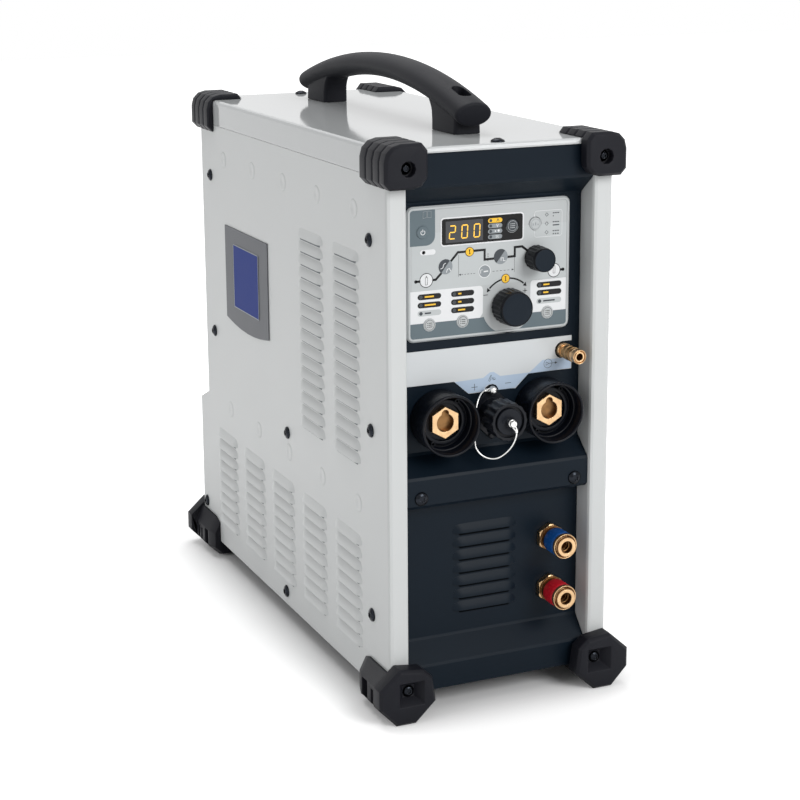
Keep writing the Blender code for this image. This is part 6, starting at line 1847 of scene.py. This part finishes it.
@dataclass
class DustCap:
    """The control connector's dust cap: a scalloped screw cap with a grooved face, and its steel eyelet."""

    shop: Workshop
    panel: float = 19.0
    height: float = 205.5
    radius: float = 14.5
    scallops: int = 16
    scallop_depth: float = 1.15
    back: float = 15.5
    face: float = 32.5
    tip: float = 39.5
    disc: float = 9.9

    def build(self) -> None:
        """Makes the cap, its disc, the eyelet and the lanyard's screw."""
        plane = front_plane(self.shop.datum, self.panel)
        centre = (0.0, self.height)
        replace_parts(self._cap(plane, centre), "dust_cap")
        disc = Shape()
        face = self.face
        profile = [(self.disc + 0.1, face - 2.2), (self.disc, face - 0.5), (self.disc - 0.4, face - 0.15)]
        profile += [
            (self.disc - 1.0, face - 0.1), (4.2, face - 0.35), (3.6, face - 0.6), (2.7, face - 1.6),
            (0, face - 1.8)
        ]
        disc.turned(plane, centre, profile, 72)
        self.shop.put(disc, "dust_cap_disc", "cap_disc", "black_plastic", "dust_cap", 30)
        eyelet = Shape()
        tip = self.tip
        profile = [(0, face - 2.0), (1.5, face - 2.0), (1.5, tip - 2.9), (2.4, tip - 2.2), (2.65, tip - 1.5)]
        profile += [
            (2.6, tip - 0.6), (2.2, tip - 0.1), (1.6, tip), (1.15, tip - 0.25), (1.0, tip - 0.8),
            (0, tip - 1.2)
        ]
        eyelet.turned(plane, centre, profile, 36)
        self.shop.put(eyelet, "dust_cap_eyelet", "steel", "steel", "dust_cap", 40)
        screw = Shape()
        profile = [
            (0, 3.2), (1.9, 3.2), (1.9, 4.6), (3.05, 4.6), (3.05, 5.6), (2.8, 6.6), (2.2, 7.25), (1.2, 7.6)
        ]
        profile += [(0.9, 7.1), (0, 7.0)]
        screw.turned(plane, (0.0, self.height + 17.2), profile, 32)
        self.shop.put(screw, "lanyard_screw", "steel", "steel", sharp=40)

    def _cap(self, plane: Plane, centre: Flat) -> Object:
        """Makes the cap's body with its gripping scallops and the groove in its face.

        Args:
            plane: The face that it stands on.
            centre: Its axis.

        Returns:
            The piece.
        """
        low, face, radius = self.back, self.face, self.radius
        stations = []
        for scale, grip, w in (
            (0.93, 0.4, low), (0.985, 1.0, low + 0.5), (1.0, 1.0, low + 1.4), (0.985, 0.8, low + 5.0),
            (0.985, 0.8, face - 5.0), (1.0, 1.0, face - 3.0), (1.0, 1.0, face - 0.9),
            (0.985, 0.7, face - 0.35), (0.955, 0.2, face)
        ):
            reach = fluted_reach(radius * scale, self.scallop_depth * grip, self.scallops, 0.8)
            stations.append((reach, w))
        for inner, w in ((12.1, face), (11.75, face - 0.3), (11.7, face - 2.6), (9.0, face - 2.7)):
            stations.append((fluted_reach(inner, 0.0, 1), w))
        shape = Shape()
        shape.lofted(plane, centre, 240, stations)
        return self.shop.put(shape, "dust_cap_moulding", "black_plastic", "black_plastic", "dust_cap", 32)


@dataclass
class GasOutlet:
    """The shielding gas outlet: a knurled release sleeve with its locking balls, and a bevelled collar."""

    shop: Workshop
    panel: float = 19.0
    centre: Flat = (60.0, 246.5)

    def build(self) -> None:
        """Makes the stem with its collar, and the sleeve."""
        plane = front_plane(self.shop.datum, self.panel)
        stem = [
            (0, 0.4), (5.6, 0.4), (5.6, 3.4), (5.2, 4.0), (4.2, 4.0), (4.2, 18.6), (4.9, 18.8), (5.25, 19.3)
        ]
        stem += [
            (5.3, 21.4), (5.0, 21.6), (5.0, 22.1), (5.3, 22.3), (5.35, 25.6), (5.5, 25.9), (5.5, 26.5),
            (5.2, 27.0)
        ]
        stem += [
            (4.85, 26.9), (4.6, 26.2), (4.3, 25.7), (4.0, 25.8), (3.9, 26.8), (3.65, 27.0), (2.95, 27.0)
        ]
        stem += [(2.65, 26.7), (2.55, 17.0), (0, 16.6)]
        shape = Shape()
        shape.turned(plane, self.centre, stem, 56)
        mesh = shape.mesh("gas_outlet_stem", 32)
        # Darker brass is painted down the stem's bore as shade.
        stem = self.shop.brass(mesh, plane, self.centre, lambda away, across: away < 26.5 and across < 2.7)
        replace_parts(stem, "gas_outlet")
        stations = []
        for reach, knurl, w in (
            (4.5, 0.0, 7.7), (5.2, 0.0, 7.8), (5.6, 0.0, 8.2), (5.6, 0.0, 9.9), (5.65, 0.3, 10.2),
            (5.65, 0.3, 13.0), (5.55, 0.0, 13.3), (5.1, 0.0, 13.5), (5.1, 0.0, 14.0), (5.6, 0.0, 14.2),
            (5.7, 0.3, 14.5), (5.7, 0.3, 17.5), (5.4, 0.0, 18.1), (4.5, 0.0, 18.2)
        ):
            stations.append((fluted_reach(reach, knurl, 32), w))
        sleeve = Shape()
        sleeve.lofted(plane, self.centre, 128, stations, ring=True)
        for k in range(6):
            sleeve.turned(plane, spot(self.centre, 5.45, 25 + 60 * k), ball_profile(0.85, 9.0, 5), 12)
        piece = self.shop.put(
            sleeve, "gas_outlet_sleeve_knurled", "worn_brass", "brass", "gas_outlet_sleeve", 40
        )
        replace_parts(piece, "gas_outlet_sleeve")


def ball_profile(radius: float, height: float, steps: int) -> list[Flat]:
    """Gives the half circle that turns into a ball centred at a height.

    Args:
        radius: The ball's radius.
        height: Its middle's height.
        steps: The number of chords in a quarter.

    Returns:
        The profile.
    """
    turns = [math.pi * (i / (2 * steps)) - math.pi / 2 for i in range(2 * steps + 1)]
    points = [(radius * math.cos(t), height + radius * math.sin(t)) for t in turns]
    return [(0.0, points[0][1]), *points[1:-1], (0.0, points[-1][1])]


@dataclass
class CoolantCouplings:
    """The coolant couplings: a hexagon nut, a knurled neck, an enamelled release sleeve and a bored nose."""

    shop: Workshop
    panel: float = 18.5
    across: float = 49.8
    flats: float = 19.5
    nose: float = 7.5
    bore: float = 4.6
    tip: float = 29.7
    sleeve_radius: float = 9.7
    places: tuple[tuple[str, float, str], ...] = (
        ("coolant_supply_coupling", 102.0, "blue_ring"), ("coolant_return_coupling", 61.3, "red_ring")
    )

    def build(self) -> None:
        """Makes both couplings and their sleeves."""
        plane = front_plane(self.shop.datum, self.panel)
        for name, z, ring in self.places:
            self._body(plane, name, (self.across, z))
            self._sleeve(plane, name, (self.across, z), ring)

    def _body(self, plane: Plane, name: str, centre: Flat) -> None:
        """Makes the nut, the knurled neck and the nose with its valve.

        Args:
            plane: The face that it stands on.
            name: The node's name.
            centre: Its axis.
        """
        shape = Shape()
        stations = []
        for flats, limit, w in (
            (self.flats, 10.2, 0.3), (self.flats, 11.2, 0.9), (self.flats, 11.2, 3.9),
            (self.flats, 10.6, 4.6), (self.flats - 0.4, 9.8, 5.0)
        ):
            stations.append((hexagon_reach(flats, limit), w))
        shape.lofted(plane, centre, 120, stations)
        stations = []
        for reach, knurl, w in (
            (8.3, 0.0, 4.8), (8.5, 0.0, 5.4), (8.7, 0.35, 5.9), (8.7, 0.35, 9.6), (8.4, 0.0, 10.2)
        ):
            stations.append((fluted_reach(reach, knurl, 48), w))
        shape.lofted(plane, centre, 192, stations)
        tip, nose, bore = self.tip, self.nose, self.bore
        profile = [
            (0, 9.8), (nose, 9.8), (nose, tip - 3.4), (nose - 0.25, tip - 3.2), (nose - 0.25, tip - 2.9)
        ]
        profile += [
            (nose, tip - 2.7), (nose, tip - 0.5), (nose - 0.4, tip), (bore + 0.4, tip), (bore, tip - 0.4)
        ]
        profile += [
            (bore, tip - 5.0), (bore - 0.5, tip - 5.2), (bore - 0.5, tip - 7.4), (3.3, tip - 7.6),
            (3.1, tip - 5.9)
        ]
        profile += [(2.5, tip - 5.6), (2.2, tip - 6.0), (2.1, tip - 9.5), (0, tip - 9.7)]
        shape.turned(plane, centre, profile, 72)
        mesh = shape.mesh(f"{name}_body", 32)

        def painted_dark(away: float, across: float) -> bool:
            """Tells whether a place lies down the bore, where darker brass is painted as shade, or on the
            knurled neck, which also takes the darker brass.
            """
            return (away < tip - 0.4 and across < bore + 0.05) or 5.3 < away < 10.1

        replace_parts(self.shop.brass(mesh, plane, centre, painted_dark), name)

    def _sleeve(self, plane: Plane, name: str, centre: Flat, ring: str) -> None:
        """Makes the sleeve, which draws back over the neck: the grip with its dots, and its brass lip.

        Args:
            plane: The face that it stands on.
            name: The node's name.
            centre: Its axis.
            ring: The finish of its grip.
        """
        outer = self.sleeve_radius
        grip = Shape()
        neck = 9.2
        profile = [
            (7.9, 13.6), (neck, 13.6), (neck, 10.5), (outer - 0.25, 10.5), (outer, 11.0), (outer, 22.9)
        ]
        profile += [(outer - 0.18, 23.05), (outer - 0.18, 23.35), (outer, 23.5), (outer, 24.5), (7.9, 24.5)]
        grip.turned(plane, centre, profile, 72, ring=True)
        dot = bpy.data.meshes.new("dot")
        bead = bmesh.new()
        bmesh.ops.create_icosphere(bead, subdivisions=1, radius=0.42)
        bmesh.ops.translate(bead, vec=(outer - 0.12, 0.0, 0.0), verts=bead.verts)
        bead.to_mesh(dot)
        bead.free()
        body = f"{name}_sleeve"
        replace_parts(self.shop.put(grip, f"{name}_sleeve_grip", ring, ring, body, 30), body)
        for row, (start, depth) in enumerate(((0.1, 14.2), (0.36, 16.4), (0.1, 18.6))):
            label, at = f"{name}_grip_dots_{row + 1}", plane.matrix(*centre, depth)
            turns = {"Count": 12, "Start": start, "Step": math.pi / 6}
            self.shop.repeated(self.shop.patterns.ring, label, dot, at, ring, ring, body, **turns)
        lip = Shape()
        profile = [
            (8.0, 24.5), (outer - 0.2, 24.5), (outer, 24.8), (outer, 26.9), (outer - 0.3, 27.4),
            (outer - 0.6, 27.5)
        ]
        profile += [
            (outer - 0.9, 27.4), (outer - 1.2, 26.8), (outer - 1.3, 25.9), (outer - 1.7, 25.7), (8.0, 25.6)
        ]
        lip.turned(plane, centre, profile, 72, ring=True)
        self.shop.put(lip, f"{name}_sleeve_lip", "brass", "brass", body, 32)


@dataclass
class RotaryKnobs:
    """The two setting knobs: a fluted skirt, a plain crown and a flat inlaid face."""

    shop: Workshop
    panel: float = 19.0
    low: float = 2.7
    top: float = 18.0
    kinds: tuple[tuple[str, Flat, float, int, float, float], ...] = (
        ("main_knob", (13.0, 284.7), 13.7, 24, 0.5, 0.8), ("cycle_knob", (35.3, 319.0), 9.4, 18, 0.7, 0.7)
    )

    def build(self) -> None:
        """Makes the knobs."""
        plane = front_plane(self.shop.datum, self.panel)
        for name, centre, radius, flutes, depth, sharpness in self.kinds:
            stations = []
            for scale, cut, w in (
                (0.965, 0.3, self.low), (0.99, 1.0, self.low + 0.3), (1.0, 1.0, self.low + 1.2),
                (0.975, 1.0, self.top - 4.4), (0.965, 0.75, self.top - 3.7), (0.955, 0.15, self.top - 3.3),
                (0.952, 0.0, self.top - 3.0), (0.935, 0.0, self.top - 0.9), (0.922, 0.0, self.top - 0.3),
                (0.895, 0.0, self.top), (0.865, 0.0, self.top), (0.855, 0.0, self.top - 0.25)
            ):
                reach = fluted_reach(radius * scale, depth * cut, flutes, sharpness)
                stations.append((reach, w))
            shape = Shape()
            shape.lofted(plane, centre, flutes * 8, stations)
            piece = self.shop.put(shape, f"{name}_moulding", "knob_plastic", "black_plastic", name, 32)
            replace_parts(piece, name)
            face = Shape()
            profile = [
                (radius * 0.86, self.top - 0.3), (radius * 0.855, self.top - 0.1),
                (radius * 0.83, self.top - 0.02)
            ]
            profile += [(radius * 0.5, self.top - 0.1), (0, self.top - 0.12)]
            face.turned(plane, centre, profile, 72)
            self.shop.put(face, f"{name}_face", "knob_face", "black_plastic", name, 20)


@dataclass
class CarryingHandle:
    """The arched handle: an oval grip on two flared stands, screwed down through slots."""

    shop: Workshop
    middle: float = 207.5
    top: float = 455.4
    radius: float = 548.0
    length: float = 322.0
    grip: Flat = (29.0, 18.7)
    stand: Flat = (21.5, 42.0)
    spacing: float = 259.5
    slot_spacing: float = 279.0
    foot: float = 406.8

    def build(self) -> None:
        """Makes the handle and its screws."""
        datum = self.shop.datum
        spine = self.radius - self.grip[1] / 2
        pivot = self.top - self.radius
        sweep = math.asin(self.length / 2 / spine)
        shape = Shape()
        rows = []
        tip = ((0.84, 0.0), (0.9, 0.15), (0.955, 0.7), (0.99, 1.7), (1.0, 3.2))
        near = [(-sweep, share, offset) for share, offset in tip]
        inner = [(sweep * (i / 20 - 1), 1.0, 0.0) for i in range(1, 40)]
        far = [(sweep, share, -offset) for share, offset in reversed(tip)]
        for turn, scale, offset in near + inner + far:
            here = turn + offset / spine
            row = []
            for x, h in circle(1.0, 48):
                reach = spine + h * scale * self.grip[1] / 2
                along = self.middle + reach * math.sin(here)
                row.append(datum.point(x * scale * self.grip[0] / 2, along, pivot + reach * math.cos(here)))
            rows.append(row)
        shape.faces_from(rows)
        arch = shape.mesh("arch")
        plane = top_plane(datum, 0.0)
        slots = Shape()
        stands = Shape()
        for way in (-1, 1):
            y = self.middle + way * self.spacing / 2
            hole = self.middle + way * self.slot_spacing / 2
            crest = pivot + math.sqrt(spine**2 - (hole - self.middle) ** 2)
            slots.prism(
                plane, rounded(-5.0, 5.0, hole - 10.5, hole + 10.5, 4.9, 8), crest + 3.4, crest + 30.0
            )
            rows = []
            for share, flare, narrow in (
                (0.0, 0.0, 1.0), (0.3, 0.3, 0.985), (0.5, 1.4, 0.97), (0.62, 3.2, 0.965), (0.74, 6.4, 0.96),
                (0.86, 10.8, 0.93), (1.0, 17.0, 0.85)
            ):
                ends = (y + way * self.stand[1] / 2, y - way * (self.stand[1] / 2 + flare))
                half = self.stand[0] / 2 * narrow
                ring = rounded(-half, half, min(ends), max(ends), 3.0, 6)
                heights = [pivot + math.sqrt(spine**2 - (v - self.middle) ** 2) for _, v in ring]
                rows.append(
                    [plane.at(u, v, self.foot + share * (h - self.foot)) for (u, v), h in zip(ring, heights)]
                )
            stands.faces_from(rows)
        stands.bm.from_mesh(carved(arch, "grip", slots.mesh("slots")))
        whole = self.shop.put(stands, "carrying_handle", "handle_plastic", "handle_plastic", sharp=40)
        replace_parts(whole, "handle")
        screws = CaseScrews(self.shop, radius=4.0)
        crest = pivot + math.sqrt(spine**2 - (self.slot_spacing / 2) ** 2)
        places = [(0.0, self.middle + way * self.slot_spacing / 2) for way in (-1, 1)]
        screws.set_out("handle_screws", top_plane(datum, crest + 3.3), places)


@dataclass
class MouldedCorners:
    """The rubber guards and feet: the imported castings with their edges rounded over, and their screws."""

    shop: Workshop
    round_over: float = 0.8
    guard_screw: Flat = (78.0, 393.7)
    foot_screw: Flat = (78.0, 8.0)

    def build(self) -> None:
        """Rounds the castings over and puts in the front screws."""
        for end in ("front", "rear"):
            for side in ("left", "right"):
                self._rounded(f"bumper_{end}_{side}", self.round_over)
                self._rounded(f"foot_{end}_{side}", self.round_over)
        datum = self.shop.datum
        x, z = self.guard_screw
        screws = CaseScrews(self.shop, radius=4.4, proud=2.7)
        screws.set_out("front_guard_screws", front_plane(datum, -4.45), [(-x, z), (x, z)])
        screws.set_out("rear_guard_screws", rear_plane(datum, 419.45), [(-x, z), (x, z)])
        x, z = self.foot_screw
        screws = CaseScrews(self.shop, radius=4.5, proud=2.3)
        screws.set_out("front_foot_screws", front_plane(datum, -5.0), [(-x, z), (x, z)])
        screws.set_out("rear_foot_screws", rear_plane(datum, 443.0), [(-x, z), (x, z)])

    def _rounded(self, name: str, radius: float) -> None:
        """Replaces a casting with its rounded copy.

        Args:
            name: The node's name.
            radius: The rounding's radius in millimetres.
        """
        bm = bmesh.new()
        bm.from_mesh(self.shop.nodes[name].data)
        bmesh.ops.remove_doubles(bm, verts=bm.verts, dist=0.00001)
        bmesh.ops.dissolve_limit(bm, angle_limit=math.radians(2.0), verts=bm.verts, edges=bm.edges)
        mesh = bpy.data.meshes.new("casting")
        bm.to_mesh(mesh)
        bm.free()
        if name.startswith("bumper"):
            mesh = carved(mesh, "casting", self._seat(name))
        host = linked("host", mesh)
        modifier = host.modifiers.new("round_over", "BEVEL")
        modifier.width = radius * MM
        modifier.segments = 3
        modifier.limit_method = "ANGLE"
        modifier.angle_limit = math.radians(24)
        modifier.use_clamp_overlap = True
        modifier.harden_normals = False
        made = creased(applied(host, f"{name}_moulding"), 30)
        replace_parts(placed(made, self.shop.materials["rubber"], "machine"), name)

    def _seat(self, name: str) -> Mesh:
        """Gives the cutter that clears a guard's recess down to its floor, for the screw's own head.

        Args:
            name: The guard's name.

        Returns:
            The cutter.
        """
        x, z = self.guard_screw
        datum = self.shop.datum
        front = "front" in name
        plane = front_plane(datum, -4.4) if front else rear_plane(datum, 419.4)
        way = (1 if "right" in name else -1) * (1 if front else -1)
        shape = Shape()
        shape.turned(plane, (way * x, z), [(0, 0), (5.2, 0), (5.2, 9.0), (0, 9.0)], 24)
        return shape.mesh("seat")


@dataclass
class Studio:
    """The pale floor, the white surroundings and the soft lamps."""

    floor_size: float = 12.0
    floor_colour: Colour = (0.86, 0.86, 0.86)
    # Half sizes, in metres, of the box round the footprint where the floor's glow is held back as painted
    # shade.
    clear: Flat = (0.075, 0.20)

    def build(self) -> None:
        """Makes the floor, the world and the lamps."""
        self._floor()
        self._world()
        self._lamp("key_softbox", (0.75, -2.3, 1.5), (0.0, -0.1, 0.2), 1.3, 1.3, 42.0)
        self._lamp("fill_softbox", (-2.4, -0.6, 1.3), (0.0, 0.0, 0.2), 1.8, 1.8, 10.0)
        self._lamp("top_softbox", (-0.1, 0.7, 2.3), (0.0, 0.0, 0.3), 1.6, 1.3, 22.0)

    def _floor(self) -> None:
        """Makes the floor: pale, with the object's shadow, and white to the eye beyond it; the glow that
        whitens it is held back over a box round the machine's footprint, painting shade on the floor under
        and near the machine.
        """
        half = self.floor_size / 2
        mesh = bpy.data.meshes.new("studio_floor")
        corners = [(-half, -half, 0.0), (half, -half, 0.0), (half, half, 0.0), (-half, half, 0.0)]
        mesh.from_pydata(corners, [], [(0, 1, 2, 3)])
        floor = linked("studio_floor", mesh)
        material, t, shader = opened("floor")
        t.fed(shader, Base_Color=(*self.floor_colour, 1), Roughness=0.9, Specular_IOR_Level=0.1)
        seen = self._seen(t)
        parts = t.node(
            "ShaderNodeSeparateXYZ", Vector=t.node("ShaderNodeTexCoord").outputs["Object"]
        ).outputs
        # The glow grows with the distance out of the clear box, so the floor under and near the machine
        # keeps a painted shade.
        across = t.maths("MAXIMUM", t.maths("SUBTRACT", t.maths("ABSOLUTE", parts["X"]), self.clear[0]), 0.0)
        along = t.maths("MAXIMUM", t.maths("SUBTRACT", t.maths("ABSOLUTE", parts["Y"]), self.clear[1]), 0.0)
        reach = t.maths(
            "SQRT", t.maths("ADD", t.maths("MULTIPLY", across, across), t.maths("MULTIPLY", along, along))
        )
        near = self._faded(t, reach, 0.0, 0.06, 0.0, 0.42)
        far = self._faded(t, reach, 0.03, 0.34, 0.0, 0.58)
        strength = t.maths("MULTIPLY", seen, t.maths("ADD", near, far))
        glow = t.node("ShaderNodeEmission", Color=(1, 1, 1, 1), Strength=strength)
        both = t.node("ShaderNodeAddShader", i0=shader.outputs[0], i1=glow.outputs[0])
        t.fed(t.tree.nodes["Material Output"], Surface=both.outputs[0])
        mesh.materials.append(material)

    @staticmethod
    def _faded(t: Tree, value: object, near: float, far: float, low: float, high: float) -> NodeSocket:
        """Gives a smooth step from low to high as a value goes from near to far.

        Args:
            t: The material's tree.
            value: The value.
            near: Where it starts.
            far: Where it ends.
            low: The level up to near.
            high: The level from far on.

        Returns:
            The level.
        """
        levels = {"From_Min": near, "From_Max": far, "To_Min": low, "To_Max": high}
        kind = {"interpolation_type": "SMOOTHSTEP"}
        return t.node("ShaderNodeMapRange", kind, Value=value, **levels).outputs["Result"]

    @staticmethod
    def _seen(t: Tree) -> NodeSocket:
        """Gives 1 for what the eye, a reflection or glass sees, and 0 for what lights the object.

        Args:
            t: The tree.

        Returns:
            Its share.
        """
        path = t.node("ShaderNodeLightPath").outputs
        mirrored = t.maths("MAXIMUM", path["Is Glossy Ray"], path["Is Transmission Ray"])
        return t.maths("MAXIMUM", path["Is Camera Ray"], mirrored)

    def _world(self) -> None:
        """Makes the surroundings: white to the eye, and a gentle even light on the object."""
        world = bpy.data.worlds.new("studio")
        world.use_nodes = True
        bpy.context.scene.world = world
        t = Tree(world.node_tree)
        strength = t.maths("MULTIPLY_ADD", self._seen(t), 0.6, 0.4)
        t.fed(t.tree.nodes["Background"], Color=(1, 1, 1, 1), Strength=strength)

    @staticmethod
    def _lamp(name: str, place: Space, target: Space, width: float, height: float, power: float) -> None:
        """Puts up a softbox.

        Args:
            name: The lamp's name.
            place: Where it stands, in metres.
            target: What it points at.
            width: Its width.
            height: Its height.
            power: Its power in watts.
        """
        light = bpy.data.lights.new(name, "AREA")
        light.shape = "RECTANGLE"
        light.size = width
        light.size_y = height
        light.energy = power
        lamp = linked(name, light)
        lamp.location = place
        lamp.rotation_euler = (Vector(target) - Vector(place)).to_track_quat("-Z", "Y").to_euler()


@dataclass
class ViewCamera:
    """The camera that looks at the machine's front left corner from above."""

    focal: float = 1871.4
    frame: float = 800.0
    yaw: float = 23.67
    pitch: float = 12.94
    roll: float = -0.38
    shift: float = -0.08
    place: Space = (-596.2, -1176.7, 569.8)

    def build(self, datum: Datum) -> None:
        """Makes the camera.

        Args:
            datum: The casing's place.
        """
        data = bpy.data.cameras.new("camera")
        data.sensor_width = 36.0
        data.lens = self.focal / self.frame * data.sensor_width
        data.shift_y = self.shift
        data.clip_start = 0.05
        camera = linked("camera", data)
        look = Matrix.Rotation(math.radians(-self.yaw), 4, "Z") @ Matrix.Rotation(
            math.radians(90 - self.pitch), 4, "X"
        )
        look = look @ Matrix.Rotation(math.radians(self.roll), 4, "Z")
        camera.matrix_world = Matrix.Translation(datum.point(*self.place)) @ look
        bpy.context.scene.camera = camera


def cleared() -> None:
    """Empties the startup scene."""
    for held in list(bpy.data.objects):
        bpy.data.objects.remove(held)


def main() -> None:
    """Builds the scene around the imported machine."""
    logging.basicConfig(level=logging.INFO, format="%(message)s")
    cleared()
    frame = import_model()
    scene = bpy.context.scene
    scene.view_settings.view_transform = "Standard"
    shop = Workshop.opened(frame["nodes"])
    ViewCamera().build(shop.datum)
    CapLanyard(shop).build()
    shop.dress()
    Studio().build()
    ControlPanel(shop).build()
    NameStrip(shop).build()
    SideBadge(shop).build()
    Louvres(shop).build()
    SideDimples(shop).build()
    CaseScrews(shop).build()
    for assembly in (
        WeldingSockets, DustCap, GasOutlet, CoolantCouplings, RotaryKnobs, CarryingHandle, MouldedCorners
    ):
        assembly(shop).build()


if __name__ == "__main__":
    main()
